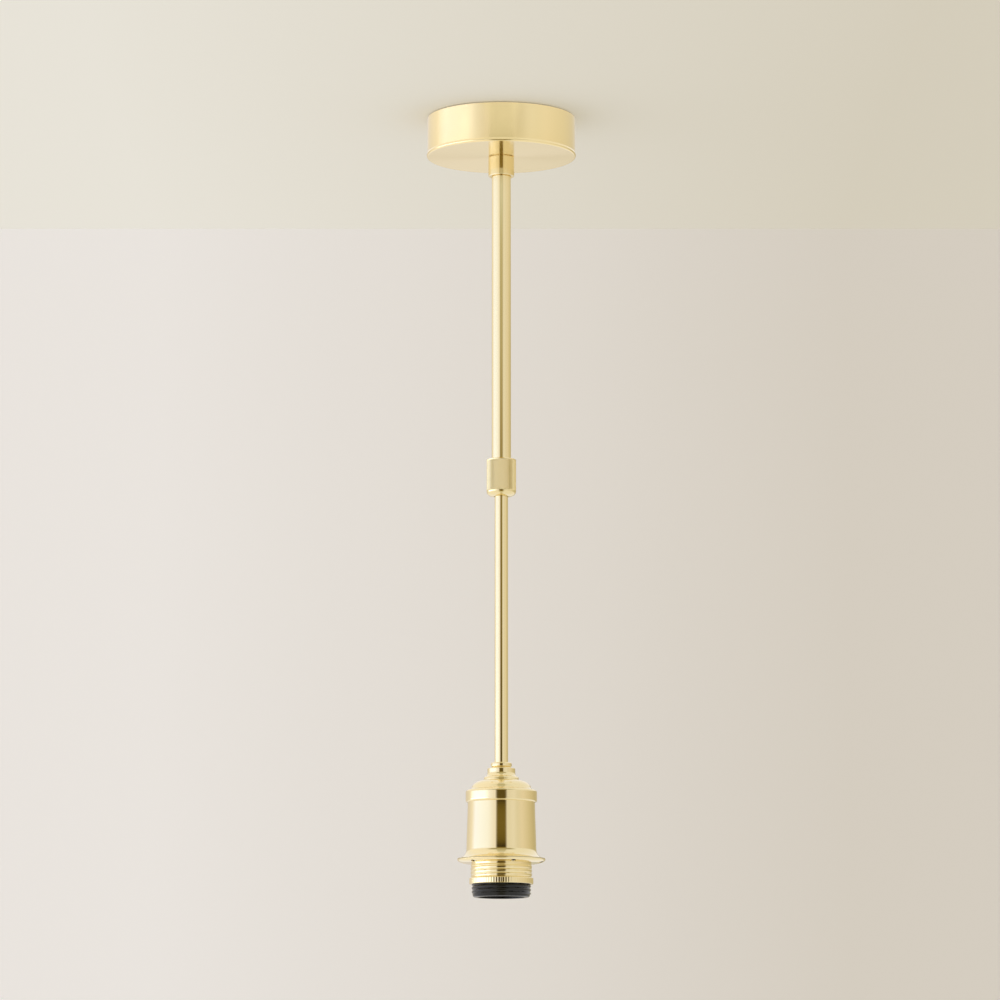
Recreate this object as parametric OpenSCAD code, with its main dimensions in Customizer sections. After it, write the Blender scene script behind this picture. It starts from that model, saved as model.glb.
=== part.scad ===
// Rise and fall pendant: a ceiling cup carries a fixed tube, and a thinner rod with a
// lampholder slides and turns in it. A reeded collar clamps the rod at any height.
// The ceiling plane is Z = 0 and everything hangs below it. Millimetres.

/* [Canopy] */
// Outer diameter of the ceiling cup
canopy_d = 100; // [92:1:120]
// Height of the ceiling cup
canopy_h = 26.5; // [25:0.5:34]
// Wall thickness of the ceiling cup
canopy_wall = 1; // [0.8:0.1:1.5]
// How far the rolled bottom edge stands proud of the side
canopy_roll = 0.5; // [0.3:0.1:0.8]

/* [Ceiling bracket] */
// Width of the bracket strap
bracket_w = 18; // [16:1:22]
// Thickness of the bracket strap
bracket_t = 1.5; // [1.2:0.1:2]
// Depth of the middle plate below the ceiling
bracket_drop = 15; // [14:0.5:15.5]
// Length of the middle plate
bracket_plate_l = 40; // [34:1:42]
// Distance between the two ceiling screw slots
slot_spacing = 62; // [58:1:66]
// Length of each screw slot, end to end
slot_l = 10; // [8:0.5:12]
// Width of each screw slot
slot_w = 4.5; // [4:0.1:5]
// Metal left past the outer end of each slot
slot_edge = 4; // [3:0.5:5]

/* [Nipple and nuts] */
// Thread diameter of the hollow nipple
nipple_d = 10; // [9.6:0.1:10.4]
// Bore of the nipple
nipple_bore_d = 7; // [6:0.1:7.4]
// Length of nipple above the bracket plate
nipple_above = 4.6; // [4:0.1:5]
// Length of nipple screwed into the coupler
nipple_grip = 6.5; // [5.5:0.1:7]
// Size across the flats of the nipple nuts
nut_af = 14; // [13:0.5:16]
// Height of each nipple nut
nut_h = 3.4; // [2.8:0.1:3.8]
// Thickness of the shakeproof washer
washer_t = 0.6; // [0.4:0.1:0.9]

/* [Terminal block and cord grip] */
// Length of the terminal block
block_l = 26; // [22:1:30]
// Depth of the terminal block
block_w = 12; // [11:0.5:14]
// Height of the terminal block
block_h = 10.5; // [9.5:0.5:12]
// Bore of each brass terminal insert
terminal_bore_d = 3; // [2.4:0.1:3.2]
// Outer diameter of the cord grip
grip_d = 12.4; // [12:0.1:13]
// Height of the cord grip
grip_h = 5; // [4.5:0.1:6]

/* [Coupler] */
// Outer diameter of the coupler under the cup
coupler_d = 17.5; // [16:0.1:20]
// Height of the coupler
coupler_h = 13.3; // [12:0.1:18]
// Depth of the tube socket in the coupler
coupler_socket = 5.2; // [4.5:0.1:5.4]

/* [Upper tube] */
// Outer diameter of the fixed tube
upper_d = 13; // [12.6:0.1:13.6]
// Wall of the fixed tube
upper_wall = 1; // [0.9:0.05:1.1]
// Length of fixed tube that shows
upper_show = 193.6; // [185:0.1:260]

/* [Locking collar and collet] */
// Outer diameter over the reeds
collar_d = 19.8; // [19:0.1:24]
// Overall height of the locking collar
collar_h = 25.2; // [24:0.1:32]
// Height of the plain rounded nose
collar_nose = 3.4; // [3:0.1:4.5]
// Number of reeds round the collar
reed_count = 96; // [40:4:120]
// Depth of each groove between reeds
reed_depth = 0.2; // [0.15:0.05:0.3]
// Outer diameter of the collet's thread
collet_d = 16; // [15.4:0.1:16.4]
// Depth of the tube socket in the collet
collet_socket = 8; // [6:0.5:9]
// Length of the slotted fingers
finger_l = 8; // [6:0.5:9]
// Diameter of the fingers' tips
finger_tip_d = 11.6; // [11.2:0.1:12.4]
// Width of each slot between fingers
finger_slot = 0.8; // [0.5:0.1:1.2]

/* [Rod] */
// Outer diameter of the sliding rod
lower_d = 9; // [8.8:0.05:9.2]
// Wall of the sliding rod
lower_wall = 1; // [0.8:0.1:1.4]
// Length of sliding rod that shows, drawn right out
lower_show = 178.4; // [170:0.1:190]
// Height of the guide bush at the rod's top
bush_h = 10; // [8:0.5:14]
// Height of the stop ring above the bush
stop_ring_h = 2; // [1.6:0.1:3]

/* [Lampholder cap] */
// Diameter of the bead nut on top of the cap
bead_d = 14; // [13:0.1:15]
// Height of the bead nut
bead_h = 3.9; // [3.4:0.1:4.6]
// Diameter of the cap's neck at its top
neck_d = 18.5; // [17.6:0.1:19]
// Height of the neck
neck_h = 2.9; // [2.6:0.1:4.4]
// Diameter of the step below the neck's cove
cove_d = 23.2; // [22:0.1:25]
// Height of the cove and its step together
cove_h = 5; // [4:0.1:5.4]
// Diameter at the foot of the domed shoulder
dome_d = 39.8; // [38:0.1:41]
// Height of the domed shoulder
dome_h = 5.9; // [5:0.1:7]
// How far the band round the cap stands proud of the body
band_proud = 1.35; // [1.2:0.05:2]
// Height of the band
band_h = 8.8; // [8.2:0.1:10.5]
// Metal thickness of the cap
cap_wall = 0.9; // [0.7:0.1:1.1]

/* [Lampholder body] */
// Diameter of the body just below the band
body_top_d = 44.7; // [44:0.1:45]
// Diameter of the body where its flare starts
body_foot_d = 46.4; // [46:0.1:47.4]
// Length of body that shows
body_show = 37.4; // [33:0.1:42]
// Metal thickness of the body
body_wall = 0.8; // [0.6:0.1:1]
// Height of the flare
flare_h = 6.4; // [5:0.1:8]
// Length of body screwed up into the band
body_grip = 7; // [6:0.1:7.5]

/* [Vent flange] */
// Diameter of the brim and of the flange's rim
flange_d = 58.6; // [57.8:0.1:61]
// Height of the dished flange
flange_h = 3; // [2.8:0.1:4]
// Metal thickness of the flange
flange_wall = 0.7; // [0.6:0.1:1]
// Number of vent holes
vent_count = 6; // [4:1:8]
// Diameter of each vent hole
vent_d = 3.8; // [3:0.1:4]
// Distance from the flange's rim to the middle of a vent
vent_inset = 3; // [2.6:0.1:3.4]
// Turn of the first vent from the front
vent_turn = 17; // [0:1:60]

/* [Shade ring and skirt] */
// Crest diameter of the skirt's shade thread
skirt_d = 39.2; // [38.6:0.1:39.6]
// Depth of the shade thread
thread_depth = 0.7; // [0.5:0.05:0.9]
// Pitch of the shade thread
thread_pitch = 2.5; // [2:0.25:3]
// Inner diameter of the skirt
skirt_bore_d = 31.2; // [30:0.1:32]
// Length of skirt that shows below the shade ring
skirt_show = 8.6; // [8.6:0.1:12]
// Height of the shade ring
ring_h = 13.8; // [11:0.1:15]
// Diameter over the milled edge
ring_edge_d = 42.4; // [41.8:0.1:44]
// Height of the milled edge
ring_edge_h = 4.2; // [3.6:0.1:5.6]
// Number of teeth on the milled edge
mill_count = 74; // [50:2:90]
// Depth of each tooth
mill_depth = 0.2; // [0.1:0.05:0.4]

/* [Lamp contacts] */
// Crest diameter of the lamp thread
lamp_d = 24.6; // [24.4:0.1:24.8]
// Depth of the lamp thread
lamp_depth = 1; // [0.8:0.05:1.2]
// Pitch of the lamp thread
lamp_pitch = 3.63; // [3.5:0.01:3.7]
// Turns of the lamp thread
lamp_turns = 5; // [4:1:5]
// Sheet thickness of the screw shell
shell_wall = 0.4; // [0.3:0.05:0.6]
// Gap between the insulating contact base and the body round it
base_gap = 1.5; // [1:0.1:2.2]
// Height of the contact base
base_h = 15; // [12:0.5:16]
// Height from the shade ring's seat up to the contact base
base_above = 17.1; // [15.6:0.1:18]
// Width of the centre contact's leaf
leaf_w = 5; // [4:0.5:7]
// Thickness of the centre contact's leaf
leaf_t = 0.5; // [0.4:0.05:0.7]

/* [Inner flex] */
// Diameter of the inner flex
flex_d = 2; // [1.6:0.1:2.2]
// Turns of the curly stretch in the fixed tube
coil_turns = 10; // [6:1:12]

/* [Hidden] */
$fn = 96;

BRASS = "#e3cf94";
PALE_BRASS = "#efe0b4";
ZINC = "#b9bcbf";
NICKEL = "#c9c5ba";
BLACK = "#232427";
WHITE = "#eceae2";

// Radial gap of a shaft that turns or slides in its bore
running_gap = 0.07;
// Gap between flat faces of pieces that turn on each other
face_gap = 0.1;
// Gap left round pieces that pass near each other
clear_gap = 0.3;
// Over-length of every cutting shape
cut = 1;

// Heights of the main faces, from the ceiling down
z_plate_top = -bracket_drop;
z_plate = z_plate_top - bracket_t;
z_nipple_top = z_plate_top + nipple_above;
z_cup = -canopy_h;
z_coupler = z_cup - coupler_h;
z_collar_top = z_coupler - upper_show;
z_collar = z_collar_top - collar_h;
z_bead_top = z_collar - lower_show;
z_cap_top = z_bead_top - bead_h;
z_neck = z_cap_top - neck_h;
z_dome_top = z_neck - cove_h;
z_band_top = z_dome_top - dome_h;
z_band = z_band_top - band_h;
z_body = z_band - body_show;
z_flange = z_body - flange_h;
z_ring = z_flange - ring_h;
z_mouth = z_ring - skirt_show;

// Fixed tube, collet and collar
upper_r = upper_d / 2;
upper_bore_r = upper_r - upper_wall;
z_tube_top = z_coupler + coupler_socket;
collet_recess = 0.6;
z_collet_top = z_collar_top - collet_recess;
z_tube_end = z_collet_top - collet_socket;
collet_web = 4;
z_fingers = z_tube_end - collet_web;
z_finger_tips = z_fingers - finger_l;
finger_root_d = collet_d - 1.2;

// Rod, guide bush and stop ring
rod_r = lower_d / 2;
rod_bore_r = rod_r - lower_wall;
z_bush = z_tube_end + clear_gap;
z_bush_top = z_bush + bush_h;
z_rod_top = z_bush_top + face_gap + stop_ring_h;

// Inside of the cap
cap_plate_t = 1.2;
tag_t = 0.6;
cap_nut_h = 3.2;
cap_nut_af = 13;
z_cap_plate = z_cap_top - cap_plate_t;
z_tag = z_cap_plate - tag_t;
z_cap_nut = z_tag - cap_nut_h;
z_rod_end = z_cap_nut - 1;

// Skirt, contact base and screw shell
skirt_r = skirt_d / 2;
skirt_bore_r = skirt_bore_d / 2;
flange_top = z_flange + flange_wall;
shoulder_r = skirt_r + 1.9;
shoulder_h = 3.6;
base_r = body_top_d / 2 - body_wall - base_gap;
z_base = z_flange + base_above;
z_base_top = z_base + base_h;
lamp_r = lamp_d / 2;
shell_flange_t = 0.5;
thread_start = 6;
z_lamp_thread = z_base - thread_start;
leaf_drop = 4;

// Flex
flex_r = flex_d / 2;
coil_r = upper_bore_r - flex_r - 1.3;
z_coil_top = z_tube_top - 1.4;
flex_sides = 8;
core_r = 0.6;
z_split = z_rod_end - 8;

// Points of an arc about (x, y), from angle a to angle b, for a round r by ry
function arc(x, y, r, a, b, n = 6, ry = undef) = [
    for (i = [0:n])
        let (t = a + (b - a) * i / n, v = is_undef(ry) ? r : ry)
            [x + r * cos(t), y + v * sin(t)]
];

// Outline of a star-edged disc: grooves of radius r_root between points of radius r_tip
function star(count, r_root, r_tip) = [
    for (i = [0:2 * count - 1])
        let (r = i % 2 == 0 ? r_root : r_tip, t = 180 * i / count)
            [r * cos(t), r * sin(t)]
];

// One side of a run of flat-topped ridges, from z_top down
function ridges(r_low, r_high, z_top, pitch, count) = [
    for (i = [0:count - 1], k = [0:3])
        [(k == 1 || k == 2) ? r_high : r_low, z_top - pitch * (i + [0.1, 0.35, 0.6, 0.85][k])]
];

// Points of a ring of the swept flex: centre p, unit direction d
function ring_points(p, d, r, sides) =
    let (
        side = norm(cross(d, [1, 0, 0])) > 0.1 ? cross(d, [1, 0, 0]) : cross(d, [0, 1, 0]),
        u = side / norm(side),
        v = cross(d, u)
    ) [for (k = [0:sides - 1]) p + r * (cos(360 * k / sides) * u + sin(360 * k / sides) * v)];

// Faces of a tube of n rings
function tube_faces(n, sides) = concat(
    [[for (k = [0:sides - 1]) k]],
    [
        for (i = [0:n - 2], k = [0:sides - 1])
            let (a = i * sides + k, b = i * sides + (k + 1) % sides)
                each [[a, a + sides, b + sides], [a, b + sides, b]]
    ],
    [[for (k = [sides - 1:-1:0]) (n - 1) * sides + k]]
);

// Direction of a route at point i
function along(route, i) =
    let (
        a = route[max(i - 1, 0)],
        b = route[min(i + 1, len(route) - 1)]
    ) (b - a) / norm(b - a);

module swept(route, r, sides) {
    rings = [
        for (i = [0:len(route) - 1])
            each ring_points(route[i], along(route, i), r, sides)
    ];
    polyhedron(points = rings, faces = tube_faces(len(route), sides), convexity = 8);
}

// A pipe between two heights
module pipe(r_out, r_in, z_low, z_high) {
    translate([0, 0, z_low])
        difference() {
            cylinder(r = r_out, h = z_high - z_low);
            translate([0, 0, -cut])
                cylinder(r = r_in, h = z_high - z_low + 2 * cut);
        }
}

// A hexagon nut between two heights
module hex_nut(af, bore_r, z_low, z_high) {
    translate([0, 0, z_low])
        difference() {
            cylinder(d = af / cos(30), h = z_high - z_low, $fn = 6);
            translate([0, 0, -cut])
                cylinder(r = bore_r, h = z_high - z_low + 2 * cut);
        }
}

// A slotted screw lying along Z, head up, its head seated at z = 0
module slotted_screw(shank_d, shank_l, head_d, head_h, slot) {
    difference() {
        union() {
            translate([0, 0, -shank_l])
                cylinder(d = shank_d, h = shank_l, $fn = 32);
            cylinder(d = head_d, h = head_h, $fn = 32);
        }
        translate([-head_d, -slot / 2, head_h / 2])
            cube([2 * head_d, slot, head_h]);
    }
}

// ---- Ceiling end ----

block_gap = 2;
block_y = bracket_w / 2 + block_gap;
tab_w = block_gap + block_w + 2;
foot_l = slot_l / 2 + slot_edge;
earth_x = bracket_plate_l / 2 - 6;
earth_d = 3.5;

module screw_slot(x) {
    translate([x, 0, -bracket_t - cut])
        linear_extrude(height = bracket_t + 2 * cut)
            union() {
                translate([-(slot_l - slot_w) / 2, 0])
                    circle(d = slot_w);
                translate([(slot_l - slot_w) / 2, 0])
                    circle(d = slot_w);
                square([slot_l - slot_w, slot_w], center = true);
            }
}

module ceiling_bracket() {
    foot_end = slot_spacing / 2 + foot_l;
    leg_x = bracket_plate_l / 2;
    color(ZINC)
        difference() {
            union() {
                translate([-leg_x, -bracket_w / 2, z_plate])
                    cube([2 * leg_x, bracket_w, bracket_t]);
                translate([-block_l / 2, bracket_w / 2 - cut, z_plate])
                    cube([block_l, tab_w + cut, bracket_t]);
                for (side = [-1, 1]) {
                    translate([side * leg_x - bracket_t / 2, -bracket_w / 2, z_plate])
                        cube([bracket_t, bracket_w, bracket_drop + bracket_t]);
                    translate([side > 0 ? leg_x : -foot_end, -bracket_w / 2, -bracket_t])
                        cube([foot_end - leg_x, bracket_w, bracket_t]);
                }
            }
            translate([0, 0, z_plate - cut])
                cylinder(r = nipple_d / 2 + running_gap, h = bracket_t + 2 * cut);
            translate([-earth_x, 0, z_plate - cut])
                cylinder(d = earth_d, h = bracket_t + 2 * cut, $fn = 32);
            for (side = [-1, 1])
                screw_slot(side * slot_spacing / 2);
        }
}

module canopy_cup() {
    r = canopy_d / 2;
    roll_r = r + canopy_roll;
    round_r = 0.9;
    color(BRASS)
        rotate_extrude()
            polygon(concat(
                [[r, 0], [r, z_cup + 2.6]],
                arc(roll_r - round_r, z_cup + round_r + 0.3, round_r, 25, -90, 6, round_r + 0.3),
                [
                    [nipple_d / 2 + running_gap, z_cup],
                    [nipple_d / 2 + running_gap, z_cup + canopy_wall]
                ],
                arc(r - canopy_wall - 1.2, z_cup + canopy_wall + 1.2, 1.2, -90, 0),
                [[r - canopy_wall, 0]]
            ));
}

module threaded_nipple() {
    z_low = z_cup - nipple_grip;
    chamfer = 0.5;
    r = nipple_d / 2;
    color(ZINC)
        rotate_extrude()
            polygon([
                [nipple_bore_d / 2, z_low],
                [r - chamfer, z_low],
                [r, z_low + chamfer],
                [r, z_nipple_top - chamfer],
                [r - chamfer, z_nipple_top],
                [nipple_bore_d / 2, z_nipple_top]
            ]);
}

module nipple_nut_top() {
    color(ZINC)
        hex_nut(nut_af, nipple_d / 2, z_plate_top, z_plate_top + nut_h);
}

module shakeproof_washer() {
    color(ZINC)
        pipe(nut_af / 2 + 0.4, nipple_d / 2 + running_gap, z_plate - washer_t, z_plate);
}

module nipple_nut_bottom() {
    color(ZINC)
        hex_nut(nut_af, nipple_d / 2, z_plate - washer_t - nut_h, z_plate - washer_t);
}

insert_d = terminal_bore_d + 1.6;
way_pitch = block_l / 3;
insert_z = z_plate_top + block_h / 2;
block_mid_y = block_y + block_w / 2;
clamp_screw_d = 2.4;
clamp_screw_y = block_w / 2 - 3;

module terminal_block() {
    color(WHITE)
        difference() {
            translate([-block_l / 2, block_y, z_plate_top])
                cube([block_l, block_w, block_h]);
            for (way = [-1:1]) {
                translate([way * way_pitch, block_y - cut, insert_z])
                    rotate([-90, 0, 0])
                        cylinder(d = insert_d, h = block_w + 2 * cut, $fn = 32);
                for (end = [-1, 1])
                    translate([way * way_pitch, block_mid_y + end * clamp_screw_y, insert_z])
                        cylinder(d = clamp_screw_d + 1.4, h = block_h, $fn = 32);
            }
        }
}

module terminal_inserts() {
    color(BRASS)
        for (way = [-1:1])
            difference() {
                translate([way * way_pitch, block_y + 0.5, insert_z])
                    rotate([-90, 0, 0])
                        cylinder(d = insert_d, h = block_w - 1, $fn = 32);
                translate([way * way_pitch, block_y - cut, insert_z])
                    rotate([-90, 0, 0])
                        cylinder(d = terminal_bore_d, h = block_w + 2 * cut, $fn = 32);
                for (end = [-1, 1])
                    translate([way * way_pitch, block_mid_y + end * clamp_screw_y, insert_z])
                        cylinder(d = clamp_screw_d, h = insert_d, $fn = 32);
            }
}

module terminal_screws() {
    screw_top = z_plate_top + block_h - 0.6;
    screw_foot = insert_z + flex_r;
    color(ZINC)
        for (way = [-1:1], end = [-1, 1])
            translate([way * way_pitch, block_mid_y + end * clamp_screw_y, screw_foot])
                difference() {
                    cylinder(d = clamp_screw_d, h = screw_top - screw_foot, $fn = 32);
                    translate([-clamp_screw_d, -0.25, screw_top - screw_foot - 0.7])
                        cube([2 * clamp_screw_d, 0.5, 2]);
                }
}

module earth_screw() {
    color(BRASS)
        translate([-earth_x, 0, z_plate_top])
            slotted_screw(earth_d, bracket_t + 2.5, 7, 2.4, 0.9);
}

module cord_grip() {
    z_low = z_plate_top + nut_h;
    r = grip_d / 2;
    color(BLACK)
        rotate_extrude()
            polygon([
                [nipple_d / 2, z_low],
                [r, z_low],
                [r, z_low + grip_h - 1],
                [r - 1.6, z_low + grip_h],
                [flex_r + running_gap, z_low + grip_h],
                [flex_r + running_gap, z_nipple_top],
                [nipple_d / 2, z_nipple_top]
            ]);
}

module coupler_collar() {
    r = coupler_d / 2;
    chamfer = 0.7;
    color(BRASS)
        rotate_extrude()
            polygon([
                [nipple_d / 2, z_cup],
                [r - 0.15, z_cup],
                [r, z_cup - 0.15],
                [r, z_coupler + chamfer],
                [r - chamfer, z_coupler],
                [upper_r, z_coupler],
                [upper_r, z_tube_top],
                [nipple_bore_d / 2, z_tube_top],
                [nipple_bore_d / 2, z_cup - nipple_grip],
                [nipple_d / 2, z_cup - nipple_grip]
            ]);
}

// ---- Fixed tube and clamp ----

module upper_tube() {
    color(PALE_BRASS)
        pipe(upper_r, upper_bore_r, z_tube_end, z_tube_top);
}

module collet_ferrule() {
    bore_r = rod_r + running_gap;
    color(BRASS)
        difference() {
            rotate_extrude()
                polygon([
                    [upper_r, z_collet_top],
                    [collet_d / 2, z_collet_top],
                    [collet_d / 2, z_fingers],
                    [finger_root_d / 2, z_fingers],
                    [finger_tip_d / 2, z_finger_tips],
                    [bore_r, z_finger_tips],
                    [bore_r, z_tube_end],
                    [upper_r, z_tube_end]
                ]);
            for (turn = [0, 90])
                rotate([0, 0, turn])
                    translate([-collet_d, -finger_slot / 2, z_finger_tips - cut])
                        cube([2 * collet_d, finger_slot, finger_l - 1 + cut]);
        }
}

module locking_collar() {
    r = collar_d / 2;
    nose_top = z_collar + collar_nose;
    exit_r = rod_r + clear_gap;
    nose_r = exit_r + 0.5;
    thread_r = collet_d / 2 + running_gap;
    cone_gap = 0.35;
    reed_top = z_collar_top - 0.8;
    color(BRASS)
        difference() {
            rotate_extrude()
                polygon(concat(
                    [
                        [thread_r, z_collar_top],
                        [r - 0.4, z_collar_top],
                        [r, z_collar_top - 0.4],
                        [r, nose_top]
                    ],
                    arc(nose_r, nose_top, r - nose_r, -15, -90, 6, collar_nose),
                    [
                        [exit_r, z_collar],
                        [exit_r, z_finger_tips - 0.6],
                        [finger_tip_d / 2 + cone_gap, z_finger_tips - 0.6],
                        [finger_root_d / 2 + cone_gap, z_fingers - 0.6],
                        [thread_r, z_fingers - 0.6]
                    ]
                ));
            translate([0, 0, nose_top + 0.3])
                linear_extrude(height = reed_top - nose_top - 0.3)
                    difference() {
                        circle(r = r + 1);
                        polygon(star(reed_count, r - reed_depth, r + 0.2));
                    }
        }
}

// ---- Sliding rod ----

module guide_bush() {
    color(BRASS)
        pipe(upper_bore_r - running_gap, rod_r + running_gap, z_bush, z_bush_top);
}

module rod_stop_ring() {
    color(BRASS)
        pipe(upper_bore_r - clear_gap, rod_r, z_rod_top - stop_ring_h, z_rod_top);
}

module lower_tube() {
    color(PALE_BRASS)
        pipe(rod_r, rod_bore_r, z_rod_end, z_rod_top);
}

// ---- Lampholder shell ----

module bead_nut() {
    r = bead_d / 2;
    bead_r = 1;
    foot_h = 1;
    groove = 0.6;
    color(BRASS)
        rotate_extrude()
            polygon(concat(
                [[rod_r, z_bead_top]],
                arc(r - bead_r, z_bead_top - bead_r, bead_r, 90, 0, 5),
                arc(r - bead_r, z_cap_top + foot_h + groove, bead_r, 0, -80, 5, groove),
                [
                    [r - 0.7, z_cap_top + foot_h * 0.8],
                    [r - 0.3, z_cap_top + foot_h * 0.4],
                    [r - 0.3, z_cap_top],
                    [rod_r, z_cap_top]
                ]
            ));
}

band_r = body_top_d / 2 + band_proud;
dome_r = dome_d / 2;
cove_r = cove_d / 2;
neck_r = neck_d / 2;
cove_step = 2.1;
cove_lip = 0.45;
body_top_r = body_top_d / 2;
body_foot_r = body_foot_d / 2;
z_body_top = z_band + body_grip;

module holder_cap() {
    wall = cap_wall;
    flat = dome_r - cove_r;
    seat_r = body_top_r + running_gap;
    z_seat = z_body_top + face_gap;
    cove_w = cove_r - cove_lip - neck_r;
    z_cove = z_dome_top + cove_step;
    color(BRASS)
        rotate_extrude()
            polygon(concat(
                [[rod_r, z_cap_top]],
                arc(neck_r - 0.4, z_cap_top - 0.4, 0.4, 90, 0, 3),
                arc(neck_r + cove_w, z_neck, cove_w, 180, 262, 6, z_neck - z_cove),
                [
                    [cove_r - 0.2, z_cove - 0.2],
                    [cove_r + 0.1, z_cove - 1.1],
                    [cove_r + 0.2, z_dome_top]
                ],
                arc(cove_r, z_band_top, flat, 84, 16, 9, dome_h),
                [
                    [dome_r, z_band_top + 0.75],
                    [dome_r + 0.45, z_band_top],
                    [dome_r + 1.3, z_band_top - 0.4]
                ],
                arc(band_r - 1.4, z_band_top - 2.35, 1.4, 76, 0, 6, 1.75),
                arc(band_r - 1, z_band + 1.5, 1, 0, -80, 5, 1.45),
                [
                    [seat_r, z_band],
                    [seat_r, z_seat],
                    [dome_r - wall, z_seat],
                    [dome_r - wall, z_band_top]
                ],
                arc(cove_r, z_band_top, flat - wall, 10, 85, 8, dome_h - wall),
                [
                    [cove_r - wall, z_dome_top - wall],
                    [neck_r - wall, z_neck - 1],
                    [neck_r - wall, z_cap_plate],
                    [rod_r, z_cap_plate]
                ]
            ));
}

module cap_lock_nut() {
    color(ZINC)
        hex_nut(cap_nut_af, rod_r, z_cap_nut, z_tag);
}

module earth_tag() {
    tag_r = neck_r - cap_wall - clear_gap;
    color(BRASS)
        pipe(tag_r, rod_r, z_tag, z_cap_plate);
}

tip_r = flange_d / 2 - 0.15;
tip_t = 0.15;
flare_end = 75;
flare_w = (tip_r - body_foot_r) / (1 - cos(flare_end));
flare_rise = (flare_h - tip_t) / sin(flare_end);
flare_x = body_foot_r + flare_w;
z_flare = z_body + flare_h;

module holder_body() {
    wall = body_wall;
    straight = 3;
    inner_end = asin(flare_h / (flare_rise + wall));
    color(BRASS)
        rotate_extrude()
            polygon(concat(
                [[body_top_r - wall, z_body_top], [body_top_r, z_body_top], [body_top_r, z_band - straight]],
                arc(flare_x, z_flare, flare_w, 180, 180 + flare_end, 12, flare_rise),
                [[tip_r, z_body]],
                arc(flare_x, z_flare, flare_w + wall, 180 + inner_end, 180, 8, flare_rise + wall),
                [[body_top_r - wall, z_band - straight]]
            ));
}

module vent_flange() {
    r = flange_d / 2;
    wall = flange_wall;
    bore_r = skirt_r + clear_gap;
    flat_r = shoulder_r + 1.5;
    rim_w = r - flat_r;
    rim_t = 0.3;
    rim_h = flange_h - rim_t;
    z_rim = z_flange + rim_h;
    color(BRASS)
        difference() {
            rotate_extrude()
                polygon(concat(
                    [[bore_r, z_flange]],
                    arc(flat_r, z_rim, rim_w, -90, 0, 10, rim_h),
                    [[r - rim_t, z_body], [r - 2 * wall, z_body]],
                    arc(flat_r, z_rim, rim_w - wall, -4, -90, 8, rim_h - wall),
                    [[bore_r, flange_top]]
                ));
            for (i = [0:vent_count - 1])
                rotate([0, 0, vent_turn - 90 + 360 * i / vent_count])
                    translate([r - vent_inset, 0, z_flange - cut])
                        cylinder(d = vent_d, h = flange_h + 2 * cut, $fn = 32);
        }
}

// ---- Shade ring, skirt and contacts ----

rib_count = floor((ring_h - ring_edge_h - 0.4) / thread_pitch);

module shade_ring() {
    bore_r = skirt_r + running_gap;
    rib_low = bore_r + 0.3;
    rib_high = bore_r + 0.6;
    edge_r = ring_edge_d / 2;
    z_edge_top = z_ring + ring_edge_h;
    rib_top = z_edge_top + 0.3 + rib_count * thread_pitch;
    color(BRASS)
        difference() {
            rotate_extrude()
                polygon(concat(
                    [[bore_r, z_flange], [rib_low, z_flange]],
                    ridges(rib_low, rib_high, rib_top, thread_pitch, rib_count),
                    [
                        [rib_low, z_edge_top + 0.3],
                        [edge_r - 0.5, z_edge_top],
                        [edge_r, z_edge_top - 0.4],
                        [edge_r, z_ring + 0.5],
                        [edge_r - 0.5, z_ring],
                        [bore_r, z_ring]
                    ]
                ));
            translate([0, 0, z_ring - cut])
                linear_extrude(height = ring_edge_h + cut)
                    difference() {
                        circle(r = edge_r + 1);
                        polygon(star(mill_count, edge_r - mill_depth, edge_r + 0.2));
                    }
        }
}

skirt_root_r = skirt_r - thread_depth;
thread_end = 2.8;
skirt_thread_l = ring_h + skirt_show - thread_end;
skirt_ridges = floor(skirt_thread_l / thread_pitch);

module threaded_skirt() {
    mouth_r = 1.5;
    z_thread = z_mouth + thread_end + skirt_ridges * thread_pitch;
    color(BLACK)
        rotate_extrude()
            polygon(concat(
                [
                    [skirt_bore_r, z_base],
                    [shoulder_r - 1.5, z_base],
                    [shoulder_r - 1.5, flange_top + shoulder_h],
                    [shoulder_r, flange_top + shoulder_h],
                    [shoulder_r, flange_top],
                    [skirt_root_r, flange_top]
                ],
                ridges(skirt_root_r, skirt_r, z_thread, thread_pitch, skirt_ridges),
                arc(skirt_root_r - mouth_r, z_mouth + mouth_r, mouth_r, 0, -90, 6),
                [[skirt_bore_r, z_mouth]]
            ));
}

rivet_x = 9;
rivet_d = 3;
rivet_h = 0.9;
rivet_l = 6;
terminal_x = 11;
terminal_size = [6, 7, 7];
terminal_seat = 3;
terminal_wire_d = 2.6;
wire_z = z_base_top + 1.4;

module contact_base() {
    color(WHITE)
        difference() {
            translate([0, 0, z_base])
                cylinder(r = base_r, h = base_h);
            for (side = [-1, 1])
                translate([side * terminal_x, 0, z_base_top])
                    cube([terminal_size[0] + 2, terminal_size[1] + 2, 6], center = true);
            translate([rivet_x, 0, z_base - cut])
                cylinder(d = rivet_d, h = rivet_l + cut, $fn = 32);
        }
}

// Sheet outline of the screw shell's thread, at radius offset by w
function shell_side(w) = ridges(lamp_r + lamp_depth + w, lamp_r + w, z_lamp_thread, lamp_pitch, lamp_turns);

shell_r = lamp_r + lamp_depth;
z_shell = z_lamp_thread - lamp_turns * lamp_pitch - 2;

module screw_shell() {
    w = shell_wall;
    flange_r = skirt_bore_r - clear_gap;
    inner = shell_side(0);
    outer = shell_side(w);
    color(NICKEL)
        rotate_extrude()
            polygon(concat(
                [[shell_r, z_base - shell_flange_t]],
                inner,
                [[shell_r, z_shell], [shell_r + w, z_shell]],
                [for (i = [len(outer) - 1:-1:0]) outer[i]],
                [
                    [shell_r + w, z_base - shell_flange_t],
                    [flange_r, z_base - shell_flange_t],
                    [flange_r, z_base],
                    [shell_r, z_base]
                ]
            ));
}

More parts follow.
